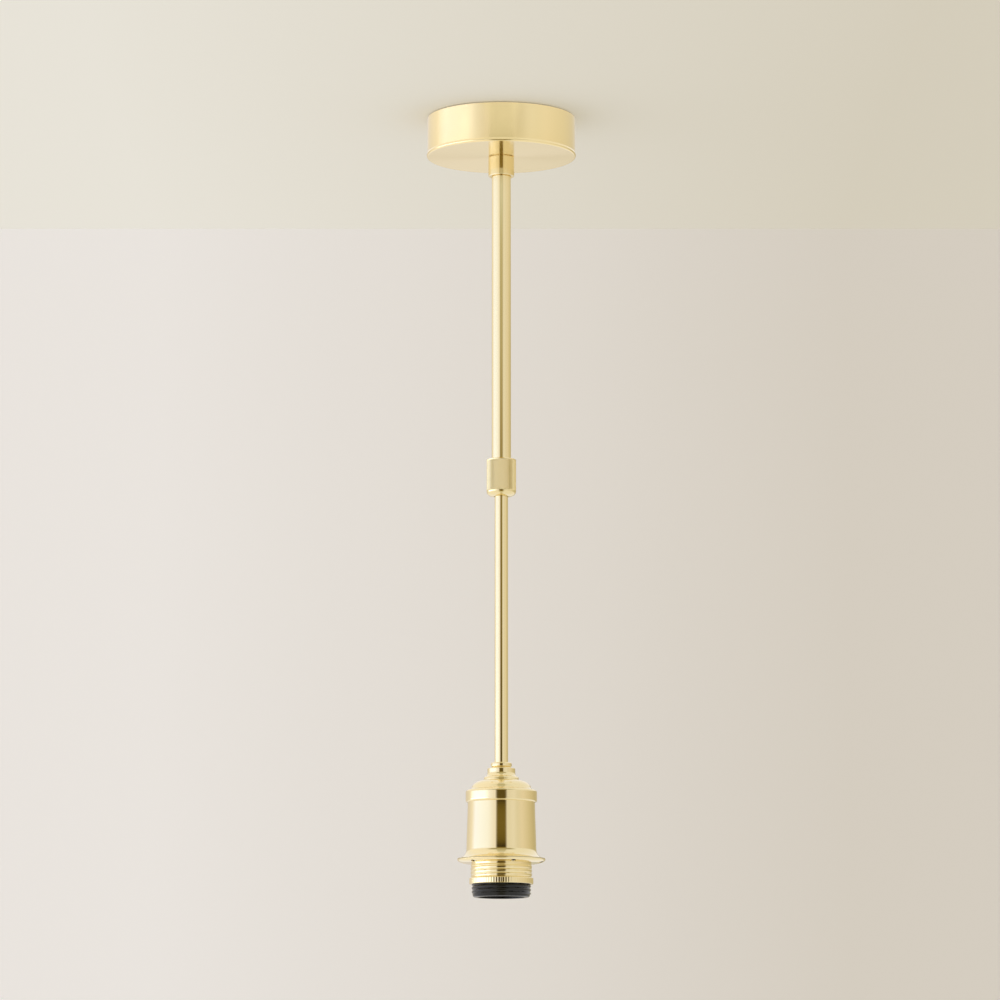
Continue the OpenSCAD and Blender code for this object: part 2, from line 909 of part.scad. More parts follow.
leaf_seat = 3;
leaf_tip_x = -2.5;

module centre_contact() {
    t = leaf_t;
    color(BRASS)
        difference() {
            translate([0, leaf_w / 2, z_base])
                rotate([90, 0, 0])
                    linear_extrude(height = leaf_w)
                        polygon([
                            [rivet_x + 2, 0],
                            [rivet_x + 2, -t],
                            [rivet_x - leaf_seat, -t],
                            [leaf_tip_x + 3, -leaf_drop],
                            [leaf_tip_x, -leaf_drop],
                            [leaf_tip_x - 2, -leaf_drop + 1.6],
                            [leaf_tip_x - 1.5, -leaf_drop + 1.9],
                            [leaf_tip_x + 0.3, -leaf_drop + t],
                            [leaf_tip_x + 2.8, -leaf_drop + t],
                            [rivet_x - leaf_seat, 0]
                        ]);
            translate([rivet_x, 0, z_base - 3])
                cylinder(d = rivet_d, h = 4, $fn = 32);
        }
}

module contact_rivet() {
    color(BRASS)
        translate([rivet_x, 0, 0]) {
            translate([0, 0, z_base - leaf_t])
                cylinder(d = rivet_d, h = rivet_l + leaf_t, $fn = 32);
            translate([0, 0, z_base - leaf_t - rivet_h])
                cylinder(d = leaf_w - 0.4, h = rivet_h, $fn = 32);
        }
}

module holder_terminals() {
    color(BRASS)
        for (side = [-1, 1])
            difference() {
                translate([side * terminal_x, 0, z_base_top - terminal_seat + terminal_size[2] / 2])
                    cube(terminal_size, center = true);
                translate([side * terminal_x, 0, wire_z])
                    rotate([0, 90, 0])
                        cylinder(d = terminal_wire_d, h = 2 * terminal_size[0], center = true, $fn = 32);
                translate([side * terminal_x, 0, wire_z])
                    cylinder(d = terminal_wire_d, h = terminal_size[2], $fn = 32);
            }
}

module holder_terminal_screws() {
    seat = z_base_top - terminal_seat + terminal_size[2];
    color(ZINC)
        for (side = [-1, 1])
            translate([side * terminal_x, 0, seat])
                slotted_screw(terminal_wire_d, seat - wire_z - core_r, 4.4, 1.6, 0.6);
}

// ---- Inner flex ----

module flex_upper() {
    z_grip = z_plate_top + nut_h + grip_h;
    way_y = block_y + 0.5;
    route = [
        [0, 0, z_coil_top],
        [0, 0, z_cup],
        [0, 0, z_plate],
        [0, 0, z_nipple_top],
        [0, 0, z_grip - 0.6],
        [0, 0.6, z_grip + 1.2],
        [0, 2.2, z_grip + 2.6],
        [0, 4.4, z_grip + 2.8],
        [0, 6.6, z_grip + 1.8],
        [0, 8, z_grip],
        [0, 8.7, (z_grip + insert_z) / 2],
        [0, 9.8, insert_z + 0.4],
        [0, way_y + 0.6, insert_z],
        [0, way_y + 4, insert_z]
    ];
    color(BLACK)
        swept(route, flex_r, flex_sides);
}

module flex_coil() {
    steps = 12;
    lead = 4;
    length = z_coil_top - z_rod_top;
    body_l = length - 2 * lead;
    n = coil_turns * steps;
    swell = 8;
    route = concat(
        [[0, 0, z_coil_top], [0, 0, z_coil_top - lead / 2]],
        [
            for (i = [0:n])
                let (
                    r = coil_r * min(1, i / swell, (n - i) / swell),
                    z = z_coil_top - lead - body_l * i / n,
                    a = 360 * i / steps
                ) [r * cos(a), r * sin(a), z]
        ],
        [[0, 0, z_rod_top + lead / 2], [0, 0, z_rod_top]]
    );
    gap = min([
        for (i = [2:len(route) - steps - 3])
            norm(route[i] - route[i + steps]) - flex_d
    ]);
    echo(least_gap_between_curls = gap);
    color(BLACK)
        swept(route, flex_r, 6);
}

module flex_lower() {
    color(BLACK)
        translate([0, 0, z_split])
            cylinder(r = flex_r, h = z_rod_top - z_split, $fn = 32);
}

module flex_cores() {
    lead_x = terminal_x - terminal_size[0] / 2;
    tag_y = cap_nut_af / 2 + core_r + 0.1;
    color(WHITE) {
        for (side = [-1, 1])
            swept([
                [side * 0.7, -0.3, z_split],
                [side * 0.9, -0.3, z_split - 2],
                [side * 2, -0.2, z_split - 5],
                [side * 3.6, 0, z_split - 9],
                [side * 4.9, 0, (z_split - 9 + wire_z) / 2],
                [side * 6, 0, wire_z + 1.6],
                [side * 7, 0, wire_z + 0.3],
                [side * lead_x, 0, wire_z],
                [side * (terminal_x + 1.5), 0, wire_z]
            ], core_r, flex_sides);
        swept([
            [0, 0.6, z_split],
            [0, 0.9, z_split - 1.6],
            [0, 2.6, z_split - 2.4],
            [0, 4.6, z_split - 0.8],
            [0, 6.3, z_split + 2.4],
            [0, tag_y, z_cap_nut - 1.5],
            [0, tag_y, z_cap_nut + 0.5],
            [0, tag_y, z_tag]
        ], core_r, flex_sides);
    }
}

ceiling_bracket();
canopy_cup();
threaded_nipple();
nipple_nut_top();
nipple_nut_bottom();
shakeproof_washer();
terminal_block();
terminal_inserts();
terminal_screws();
earth_screw();
cord_grip();
coupler_collar();
upper_tube();
collet_ferrule();
locking_collar();
guide_bush();
rod_stop_ring();
lower_tube();
bead_nut();
holder_cap();
cap_lock_nut();
earth_tag();
holder_body();
vent_flange();
shade_ring();
threaded_skirt();
contact_base();
screw_shell();
centre_contact();
contact_rivet();
holder_terminals();
holder_terminal_screws();
flex_upper();
flex_coil();
flex_lower();
flex_cores();
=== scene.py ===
"""Rise and fall pendant: brass ceiling cup, fixed tube, locking collar, rod and lampholder.

Every piece is built in millimetres about the lamp's vertical axis, with the ceiling plane at
zero, and is written to its mesh in metres.
"""

from __future__ import annotations

import logging
import math
from collections.abc import Callable, Iterable, Mapping, Sequence
from dataclasses import dataclass, field
from enum import Enum
from functools import cache

import bmesh
import bpy
from mathutils import Matrix, Vector


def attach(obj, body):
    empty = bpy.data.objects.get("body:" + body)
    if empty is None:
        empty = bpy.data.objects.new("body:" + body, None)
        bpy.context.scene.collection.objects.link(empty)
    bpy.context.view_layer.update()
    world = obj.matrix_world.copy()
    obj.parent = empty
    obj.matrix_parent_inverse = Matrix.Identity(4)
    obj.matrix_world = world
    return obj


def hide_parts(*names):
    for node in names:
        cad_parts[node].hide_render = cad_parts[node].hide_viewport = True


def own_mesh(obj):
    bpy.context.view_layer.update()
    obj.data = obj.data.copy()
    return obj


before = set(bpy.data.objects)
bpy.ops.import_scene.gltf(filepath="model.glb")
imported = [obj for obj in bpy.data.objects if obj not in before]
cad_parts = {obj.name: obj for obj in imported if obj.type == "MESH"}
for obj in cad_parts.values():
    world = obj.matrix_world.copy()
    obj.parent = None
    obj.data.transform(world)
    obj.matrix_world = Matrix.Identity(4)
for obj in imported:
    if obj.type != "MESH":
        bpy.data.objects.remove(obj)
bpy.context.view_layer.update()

LOG = logging.getLogger("pendant")
MM = 0.001
RELIEF_MM = 0.05  # height of the finest relief on any finish
Outline = list[tuple[float, float]]
Rule = Callable[[float, float, float], float]
Light = tuple[float, float, float]
Stops = tuple[tuple[float, Light], ...]
Mesh = bmesh.types.BMesh
Node = bpy.types.Node
Socket = bpy.types.NodeSocket
Tree = bpy.types.NodeTree


# ---- Colour and nodes ----


def linear(code: str) -> tuple[float, float, float, float]:
    """Turns an sRGB hex colour into linear light.

    Args:
        code: six hex digits after a hash.

    Returns:
        Red, green, blue and an alpha of one.
    """
    parts = (int(code[i : i + 2], 16) / 255 for i in (1, 3, 5))
    light = [p / 12.92 if p <= 0.04045 else ((p + 0.055) / 1.055) ** 2.4 for p in parts]
    return (light[0], light[1], light[2], 1.0)


def add(
    tree: Tree,
    kind: str,
    inputs: Mapping[str | int, object] | None = None,
    stops: Iterable[tuple[float, Sequence[float]]] = (),
    **settings: object,
) -> Node:
    """Adds a node with its settings, and links or sets its inputs.

    Args:
        tree: node tree that takes the node.
        kind: the node's type name after its leading "ShaderNode".
        inputs: socket name or number to a value, a socket, or a node whose first live output feeds it.
        stops: place and linear colour of each stop of a colour ramp, in order.
        **settings: attributes to set on the node.

    Returns:
        The new node.
    """
    node = tree.nodes.new("ShaderNode" + kind)
    for key, value in settings.items():
        setattr(node, key, value)
    for key, value in (inputs or {}).items():
        source = next(out for out in value.outputs if out.enabled) if isinstance(value, Node) else value
        if isinstance(source, Socket):
            tree.links.new(source, node.inputs[key])
        else:
            node.inputs[key].default_value = source
    for i, (place, colour) in enumerate(stops):
        elements = node.color_ramp.elements
        stop = elements[i] if i < 2 else elements.new(place)
        stop.position, stop.color = place, colour
    return node


def graded(tree: Tree, value: Node, stops: Stops) -> Node:
    """Reads a light off its stops, by an angle or a distance.

    Args:
        tree: node tree that takes the nodes.
        value: the angle or distance.
        stops: where each light holds, in order, and the light.

    Returns:
        The node that gives the light.
    """
    low, high = stops[0][0], stops[-1][0]
    along = add(tree, "MapRange", {"Value": value, "From Min": low, "From Max": high})
    return add(tree, "ValToRGB", {"Fac": along}, [((at - low) / (high - low), (*c, 1.0)) for at, c in stops])


def blank_material(name: str) -> tuple[bpy.types.Material, Tree, Socket]:
    """Makes a material with nothing in it but its object coordinates.

    Args:
        name: what the real material is called.

    Returns:
        The material, its node tree and its object coordinates in metres.
    """
    made = bpy.data.materials.new(name)
    made.use_nodes = True
    made.node_tree.nodes.clear()
    return made, made.node_tree, add(made.node_tree, "TexCoord").outputs["Object"]


# ---- Finishes ----


class Grain(Enum):
    """How a metal surface was worked."""

    RINGS = "turned, with fine rings round the axis"
    REEDS = "rolled, with lines along the axis"
    NONE = "buffed, without a direction"


@dataclass(frozen=True)
class Finish:
    """A surface finish that pieces share.

    Attributes:
        name: what the real material is called.
        slot: the record's material slot.
        colour: sRGB hex of the bare surface.
        roughness: mean roughness.
        spread: how far the roughness strays either way.
        patch_mm: size of the patches in which it strays.
    """

    name: str
    slot: str
    colour: str
    roughness: float
    spread: float = 0.03
    patch_mm: float = 9.0

    def settings(self) -> dict[str, object]:
        """Returns the shader's own values, which are the same all over."""
        return {"Base Color": linear(self.colour)}

    def dress(self, tree: Tree, place: Socket) -> dict[str, Node]:
        """Adds what is special to this finish.

        Args:
            tree: the material's node tree.
            place: its object coordinates.

        Returns:
            The shader's sockets and what feeds them.
        """
        return {}

    @cache
    def material(self) -> bpy.types.Material:
        """Makes the Blender material once, its roughness straying in soft patches as handling leaves it.

        Returns:
            The material, which pieces share.
        """
        made, tree, place = blank_material(self.name)
        patches = add(tree, "TexNoise", {"Vector": place, "Scale": 1 / (self.patch_mm * MM), "Detail": 3.0})
        least, most = max(0.01, self.roughness - self.spread), self.roughness + self.spread
        limits = {"Value": patches, "From Min": 0.3, "From Max": 0.7, "To Min": least, "To Max": most}
        shader = add(tree, "BsdfPrincipled", self.settings())
        feeds = {"Roughness": add(tree, "MapRange", limits), **self.dress(tree, place)}
        for socket, source in feeds.items():
            tree.links.new(source.outputs[0], shader.inputs[socket])
        add(tree, "OutputMaterial", {"Surface": shader})
        return made


@dataclass(frozen=True)
class Metal(Finish):
    """Metal, plain or with a worked grain.

    Attributes:
        grain: how the surface was worked.
        anisotropy: how far a highlight is drawn across the grain.
        line_mm: spacing of the grain's lines.
        line_depth: strength of the lines' relief.
    """

    grain: Grain = Grain.NONE
    anisotropy: float = 0.0
    line_mm: float = 0.3
    line_depth: float = 0.02

    def settings(self) -> dict[str, object]:
        """Returns the shader's own values, which are the same all over."""
        return {
            "Base Color": linear(self.colour),
            "Metallic": 1.0,
            "Anisotropic": self.anisotropy,
            "Anisotropic Rotation": 0.25 if self.grain is Grain.RINGS else 0.0,
        }

    def dress(self, tree: Tree, place: Socket) -> dict[str, Node]:
        """Adds the grain's relief and the direction in which it draws the highlights.

        Args:
            tree: the material's node tree.
            place: its object coordinates.

        Returns:
            The shader's sockets and what feeds them.
        """
        if self.grain is Grain.NONE:
            return {}
        parts = add(tree, "SeparateXYZ", {0: place}).outputs
        flat = add(tree, "CombineXYZ", {"X": parts["X"], "Y": parts["Y"]})
        if self.grain is Grain.RINGS:
            radius = add(tree, "VectorMath", {0: flat}, operation="LENGTH")
            lines = add(tree, "CombineXYZ", {"X": radius, "Y": parts["Z"]})
        else:
            unit = add(tree, "VectorMath", {0: flat}, operation="NORMALIZE")
            lines = add(tree, "VectorMath", {0: unit, "Scale": 10 * MM}, operation="SCALE")
        noise = add(tree, "TexNoise", {"Vector": lines, "Scale": 1 / (self.line_mm * MM), "Detail": 2.0})
        relief = {"Height": noise, "Strength": self.line_depth, "Distance": RELIEF_MM * MM}
        around = add(tree, "VectorMath", {0: (0.0, 0.0, 1.0), 1: place}, operation="CROSS_PRODUCT")
        space = {"vector_type": "VECTOR", "convert_from": "OBJECT", "convert_to": "WORLD"}
        tangent = add(tree, "VectorTransform", {"Vector": around}, **space)
        return {"Normal": add(tree, "Bump", relief), "Tangent": tangent}


@dataclass(frozen=True)
class Moulded(Finish):
    """Moulded or fired insulator, with a fine skin.

    Attributes:
        specular: strength of the plain reflection.
        coat: weight of a clear glaze on top.
        pore_mm: size of the skin's grain.
        pore_depth: strength of that grain.
        shade: sRGB hex that the colour drifts to in soft patches.
    """

    specular: float = 0.5
    coat: float = 0.0
    pore_mm: float = 0.5
    pore_depth: float = 0.05
    shade: str = ""

    def settings(self) -> dict[str, object]:
        """Returns the shader's own values, which are the same all over."""
        return {
            "Base Color": linear(self.colour),
            "Specular IOR Level": self.specular,
            "Coat Weight": self.coat,
            "Coat Roughness": 0.06,
        }

    def dress(self, tree: Tree, place: Socket) -> dict[str, Node]:
        """Adds the skin's grain and its drift of colour.

        Args:
            tree: the material's node tree.
            place: its object coordinates.

        Returns:
            The shader's sockets and what feeds them.
        """
        pores = add(tree, "TexNoise", {"Vector": place, "Scale": 1 / (self.pore_mm * MM)})
        relief = {"Height": pores, "Strength": self.pore_depth, "Distance": RELIEF_MM * MM}
        feeds = {"Normal": add(tree, "Bump", relief)}
        if self.shade:
            patches = add(tree, "TexNoise", {"Vector": place, "Scale": 1 / (self.patch_mm * MM)})
            stops = [(0.35, linear(self.colour)), (0.7, linear(self.shade))]
            feeds["Base Color"] = add(tree, "ValToRGB", {"Fac": patches}, stops)
        return feeds


@dataclass(frozen=True)
class Striped(Finish):
    """Extruded insulation with a second colour in bands.

    Attributes:
        stripe: sRGB hex of the second colour.
        pitch_mm: spacing of the bands.
    """

    stripe: str = "#e8cf3a"
    pitch_mm: float = 3.0

    def dress(self, tree: Tree, place: Socket) -> dict[str, Node]:
        """Adds the bands.

        Args:
            tree: the material's node tree.
            place: its object coordinates.

        Returns:
            The shader's sockets and what feeds them.
        """
        bands = {"Vector": place, "Scale": 0.31 / (self.pitch_mm * MM)}
        wave = add(tree, "TexWave", bands, wave_type="BANDS", bands_direction="DIAGONAL")
        stops = [(0.48, linear(self.colour)), (0.52, linear(self.stripe))]
        return {"Base Color": add(tree, "ValToRGB", {"Fac": wave.outputs["Fac"]}, stops)}


RINGS = Grain.RINGS
# Pressed brass brushed round the axis under clear lacquer: long soft highlights across the lines.
BRUSHED_BRASS = Metal(
    "brushed lacquered brass", "brushed_brass", "#f8e5b3", 0.165, 0.02, 14.0, RINGS, 0.95, 0.35, 0.04
)
# Turned and buffed brass under clear lacquer: a clean mirror that still softens its edges a little.
POLISHED_BRASS = Metal(
    "polished lacquered brass", "polished_brass", "#f3e3b6", 0.07, 0.015, 12.0, RINGS, 0.35, 0.4, 0.012
)
# Brass buffed on the lathe under clear lacquer: crisp upright edges, softened up and down.
TURNED_BRASS = Metal(
    "lathe buffed lacquered brass", "polished_brass", "#f3e3b6", 0.11, 0.02, 12.0, RINGS, 0.8, 0.4, 0.012
)
# Drawn brass tube, satin polished on the lathe: the softbox edges blur slightly.
SATIN_BRASS = Metal(
    "satin lacquered brass tube", "satin_brass", "#f3e3b6", 0.11, 0.02, 16.0, RINGS, 0.5, 0.4, 0.02
)
# Brass with rolled reeds: each reed mirrors the room, together they read as satin.
REEDED_BRASS = Metal(
    "reeded lacquered brass", "satin_brass", "#f0dfae", 0.17, 0.02, 8.0, Grain.REEDS, 0.2, 0.3, 0.01
)
# Brass as it left the lathe or press, without lacquer: yellower, with coarser tool lines.
RAW_BRASS = Metal("machined bare brass", "raw_brass", "#dcb870", 0.27, 0.05, 5.0, RINGS, 0.4, 0.5, 0.08)
# Zinc plate over steel, clear passivated: grey, dull, slightly patchy.
ZINC_STEEL = Metal("zinc plated steel", "zinc_steel", "#c3c7ca", 0.36, 0.08, 4.0)
# Nickel plated rolled brass sheet of the lamp's screw shell: warm grey and fairly bright.
NICKEL_SHELL = Metal(
    "nickel plated brass sheet", "nickel_shell", "#d3cdc0", 0.2, 0.04, 6.0, RINGS, 0.3, 0.5, 0.03
)
# Glazed white porcelain: a clear glossy skin over a slightly warm body.
PORCELAIN = Moulded(
    "glazed porcelain", "porcelain", "#efece3", 0.3, 0.03, 7.0, 0.5, 0.6, 0.9, 0.03, "#e6e1d5"
)
# Black phenolic moulding: semi-gloss, with soft highlights along the thread's crests.
BLACK_THERMOSET = Moulded(
    "black phenolic moulding", "black_plastic", "#0a0a0b", 0.2, 0.04, 6.0, 0.42, 0.0, 0.35, 0.03, "#101011"
)
# White nylon terminal block: slightly waxy and dull.
WHITE_NYLON = Moulded("white nylon", "white_plastic", "#e9e7de", 0.5, 0.05, 6.0, 0.45, 0.0, 0.4, 0.08, "#e2dfd3")
# Black PVC sheath of the inner flex: matt, faintly drawn.
FLEX_SHEATH = Moulded(
    "black PVC sheath", "flex_sheath", "#1b1c1d", 0.48, 0.05, 5.0, 0.45, 0.0, 0.3, 0.1, "#222324"
)
# Brown and blue PVC core insulation: smooth extruded plastic.
CORE_BROWN = Moulded("brown PVC insulation", "flex_core", "#6b4128", 0.38, 0.04, 5.0, 0.5)
CORE_BLUE = Moulded("blue PVC insulation", "flex_core", "#2d63ad", 0.38, 0.04, 5.0, 0.5)
# Green and yellow earth insulation: bands of the second colour.
CORE_EARTH = Striped("green and yellow PVC insulation", "flex_core", "#3f8a3c", 0.38, 0.04, 5.0)


# ---- Making meshes ----


def arc(
    x: float, z: float, radius: float, start: float, end: float, count: int = 8, rise: float | None = None
) -> Outline:
    """Points of an arc in an outline.

    Args:
        x: centre's distance from the axis.
        z: centre's height.
        radius: radius, or half width where rise is given.
        start: first angle in degrees, zero pointing outwards.
        end: last angle in degrees.
        count: number of steps.
        rise: half height, for an arc of an ellipse.

    Returns:
        Distance from the axis and height of each point.
    """
    tall = radius if rise is None else rise
    turns = [math.radians(start + (end - start) * i / count) for i in range(count + 1)]
    return [(x + radius * math.cos(t), z + tall * math.sin(t)) for t in turns]


def run(r_from: float, z_from: float, r_to: float, z_to: float, step: float) -> Outline:
    """Points along a straight stretch of an outline, no further apart than a step.

    Args:
        r_from: first distance from the axis.
        z_from: first height.
        r_to: last distance from the axis.
        z_to: last height.
        step: largest spacing.

    Returns:
        The points, both ends among them.
    """
    count = max(1, math.ceil(math.dist((r_from, z_from), (r_to, z_to)) / step))
    shares = (i / count for i in range(count + 1))
    return [(r_from + (r_to - r_from) * s, z_from + (z_to - z_from) * s) for s in shares]


def supported(outline: Outline, margin: float = 0.3) -> Outline:
    """Adds a point near both ends of each long straight stretch, so that it mirrors as a flat.

    Args:
        outline: distance from the axis and height of each corner.
        margin: distance of the added points from the ends.

    Returns:
        The closed outline with the added points.
    """
    points = []
    for (r, z), (next_r, next_z) in zip(outline, outline[1:] + outline[:1]):
        points.append((r, z))
        length = math.dist((r, z), (next_r, next_z))
        if length > 3 * margin:
            for share in (margin / length, 1 - margin / length):
                points.append((r + (next_r - r) * share, z + (next_z - z) * share))
    return points


def turned(outline: Outline, steps: int = 144, edge: float = 0.12) -> Mesh:
    """Spins a closed outline about the axis and eases its hard rims.

    Args:
        outline: distance from the axis and height of each corner.
        steps: number of steps round the axis.
        edge: width of the eased rim, zero to leave them sharp.

    Returns:
        A closed mesh, its faces pointing outwards.
    """
    work = bmesh.new()
    corners = [work.verts.new((r, 0.0, z)) for r, z in supported(outline)]
    sides = [work.edges.new(pair) for pair in zip(corners, corners[1:] + corners[:1])]
    bmesh.ops.spin(
        work,
        geom=corners + sides,
        cent=(0, 0, 0),
        axis=(0, 0, 1),
        dvec=(0, 0, 0),
        angle=math.tau,
        steps=steps,
        use_merge=True,
    )
    bmesh.ops.remove_doubles(work, verts=work.verts, dist=1e-4)
    bmesh.ops.recalc_face_normals(work, faces=work.faces)
    if edge > 0:
        ease(work, edge, 30.0)
    return work


def ease(work: Mesh, width: float, angle: float) -> None:
    """Bevels every edge that turns by more than an angle.

    Args:
        work: mesh to change.
        width: width of the bevel.
        angle: least turn of an edge, in degrees.
    """
    limit = math.radians(angle)
    bmesh.ops.bevel(
        work,
        geom=[e for e in work.edges if e.is_manifold and e.calc_face_angle(0.0) > limit],
        offset=width,
        offset_type="OFFSET",
        affect="EDGES",
        segments=2,
        profile=0.5,
        clamp_overlap=True,
        material=-1,
    )


def crease(work: Mesh, angle: float) -> None:
    """Marks each edge that turns by more than an angle as sharp, and the others as smooth.

    Args:
        work: mesh to change.
        angle: least turn of a sharp edge, in degrees.
    """
    for edge in work.edges:
        edge.smooth = not edge.is_manifold or edge.calc_face_angle(0.0) < math.radians(angle)


def shift_radially(work: Mesh, rule: Rule) -> None:
    """Moves every corner towards or away from the axis.

    Args:
        work: mesh to change.
        rule: gives the move from a corner's distance, its angle and its height.
    """
    for corner in work.verts:
        x, y, z = corner.co
        distance = math.hypot(x, y)
        if distance > 1e-6:
            factor = 1 + rule(distance, math.atan2(y, x), z) / distance
            corner.co.x, corner.co.y = x * factor, y * factor


def groove(phase: float) -> float:
    """Returns the depth of a row of round reeds, from 0 on a reed to 1 between two."""
    return 1 - math.sqrt(0.5 - 0.5 * math.cos(phase))


def screw_wave(angle: float, z: float, pitch: float, flat: float = 0.0) -> float:
    """Height of a rounded thread, from 0 at the root to 1 at the crest.

    Args:
        angle: angle round the axis, in radians.
        z: height.
        pitch: pitch of the thread.
        flat: how much the crest and root are flattened, from 0 to 1.

    Returns:
        The share of the thread's depth.
    """
    wave = math.cos(math.tau * z / pitch - angle) * (1 + flat)
    return 0.5 + 0.5 * max(-1.0, min(1.0, wave))


def fade(z: float, low: float, high: float, length: float) -> float:
    """Share from 0 outside a stretch to 1 inside it, with soft ends.

    Args:
        z: height.
        low: lower end.
        high: upper end.
        length: length of each soft end.

    Returns:
        The share.
    """
    share = max(0.0, min((z - low) / length, (high - z) / length, 1.0))
    return share * share * (3 - 2 * share)


def tube(route: Sequence[Vector], radius: float, sides: int = 12) -> Mesh:
    """Sweeps a round section along a route with closed ends.

    Args:
        route: points of the centre line.
        radius: radius of the section.
        sides: corners of the section.

    Returns:
        A closed mesh.
    """
    work = bmesh.new()
    rings = []
    tangent = (route[1] - route[0]).normalized()
    side = tangent.orthogonal().normalized()
    for i, point in enumerate(route):
        ahead = (route[min(i + 1, len(route) - 1)] - route[max(i - 1, 0)]).normalized()
        side = (tangent.rotation_difference(ahead) @ side).normalized()
        tangent = ahead
        ring = bmesh.ops.create_circle(work, segments=sides, radius=radius, cap_ends=False)["verts"]
        basis = Matrix((side, tangent.cross(side), tangent)).transposed().to_4x4()
        bmesh.ops.transform(work, verts=ring, matrix=Matrix.Translation(point) @ basis)
        rings.append({e for v in ring for e in v.link_edges})
    for lower, upper in zip(rings, rings[1:]):
        bmesh.ops.bridge_loops(work, edges=list(lower | upper))
    bmesh.ops.holes_fill(work, edges=[e for e in work.edges if e.is_boundary], sides=0)
    bmesh.ops.recalc_face_normals(work, faces=work.faces)
    return work


def smooth_route(points: Sequence[Sequence[float]], gaps: int = 6) -> list[Vector]:
    """Runs a smooth line through points.

    Args:
        points: the points that the line passes through.
        gaps: steps between two points.

    Returns:
        Points along the line.
    """
    fixed = [Vector(p) for p in points]
    ends = [2 * fixed[0] - fixed[1], *fixed, 2 * fixed[-1] - fixed[-2]]
    route = []
    for a, b, c, d in zip(ends, ends[1:], ends[2:], ends[3:]):
        for t in (i / gaps for i in range(gaps)):
            square, cube = 2 * a - 5 * b + 4 * c - d, 3 * b - a - 3 * c + d
            route.append(0.5 * (2 * b + (c - a) * t + square * t * t + cube * t * t * t))
    return [*route, fixed[-1]]


# ---- Finishing pieces ----


def finish_piece(
    work: Mesh, name: str, finish: Finish, body: str, node: str, sharp: float = 22.0
) -> bpy.types.Object:
    """Writes a mesh in metres, shades it, dresses it and fixes it to its body.

    Args:
        work: mesh in mm, which is freed.
        name: name of the piece.
        finish: its finish.
        body: the CAD body that it rides on.
        node: the CAD node that it stands for.
        sharp: least turn, in degrees, of an edge that stays sharp.

    Returns:
        The new object.
    """
    bmesh.ops.scale(work, vec=(MM, MM, MM), verts=work.verts)
    for face in work.faces:
        face.smooth = True
    crease(work, sharp)
    mesh = bpy.data.meshes.new(name)
    work.to_mesh(mesh)
    work.free()
    mesh.materials.append(finish.material())
    piece = bpy.data.objects.new(name, mesh)
    bpy.context.scene.collection.objects.link(piece)
    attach(piece, body)
    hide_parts(node)
    LOG.info("%s: %d faces, %s", name, len(mesh.polygons), finish.name)
    return piece


def softened(node: str, name: str, finish: Finish, body: str, width: float) -> None:
    """Makes a piece that is a CAD node with its edges eased.

    Args:
        node: the CAD node.
        name: name of the piece.
        finish: its finish.
        body: the CAD body that it rides on.
        width: width of the eased edges.
    """
    work = bmesh.new()
    work.from_mesh(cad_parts[node].data)
    bmesh.ops.scale(work, vec=(1 / MM, 1 / MM, 1 / MM), verts=work.verts)
    bmesh.ops.remove_doubles(work, verts=work.verts, dist=1e-3)
    bmesh.ops.dissolve_limit(work, angle_limit=math.radians(1.0), verts=work.verts, edges=work.edges)
    ease(work, width, 40.0)
    bmesh.ops.triangulate(work, faces=[f for f in work.faces if len(f.verts) > 4])
    finish_piece(work, name, finish, body, node, 25.0)


def dress_node(node: str, finish: Finish) -> None:
    """Gives a carried-over CAD node its finish.

    Args:
        node: the CAD node.
        finish: the finish.
    """
    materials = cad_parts[node].data.materials
    materials.clear()
    materials.append(finish.material())
    LOG.info("%s: as built, %s", node, finish.name)


def cut_with(piece: bpy.types.Object, drill: Mesh) -> None:
    """Cuts a drill's shape out of a piece and writes the result to its mesh.

    Args:
        piece: the piece that is cut.
        drill: the cutting shape in mm, which is freed.
    """
    bmesh.ops.scale(drill, vec=(MM, MM, MM), verts=drill.verts)
    shape = bpy.data.meshes.new("drill")
    drill.to_mesh(shape)
    drill.free()
    tool = bpy.data.objects.new("drill", shape)
    bpy.context.scene.collection.objects.link(tool)
    step = piece.modifiers.new("drill", "BOOLEAN")
    step.operation, step.solver, step.object = "DIFFERENCE", "EXACT", tool
    bpy.context.view_layer.update()
    done = bpy.data.meshes.new_from_object(piece.evaluated_get(bpy.context.evaluated_depsgraph_get()))
    piece.modifiers.clear()
    old, piece.data = piece.data, done
    done.name = piece.name
    bpy.data.meshes.remove(old)
    bpy.data.objects.remove(tool)
    bpy.data.meshes.remove(shape)
    work = bmesh.new()
    work.from_mesh(done)
    crease(work, 22.0)
    work.to_mesh(done)
    work.free()


# ---- Sizes that several pieces share ----


@dataclass(frozen=True)
class Heights:
    """Heights of the main faces, all below the ceiling."""

    nipple_top: float = -10.4
    cup: float = -26.5
    nipple: float = -33.0
    tube_top: float = -34.6
    coil_top: float = -36.0
    coupler: float = -39.8
    rod_top: float = -229.6
    collar_top: float = -233.4
    tube_end: float = -242.0
    fingers: float = -246.6
    tips: float = -254.6
    collar: float = -258.6
    bead_top: float = -437.0
    cap_top: float = -440.9
    neck: float = -443.8
    rod_end: float = -446.9
    dome_top: float = -448.8
    band_top: float = -454.7
    split: float = -454.9
    band: float = -463.5
    base_top: float = -471.8
    base: float = -486.8
    body: float = -500.9
    flange: float = -503.9
    ring: float = -517.7
    mouth: float = -526.3


H = Heights()


# ---- Ceiling end ----


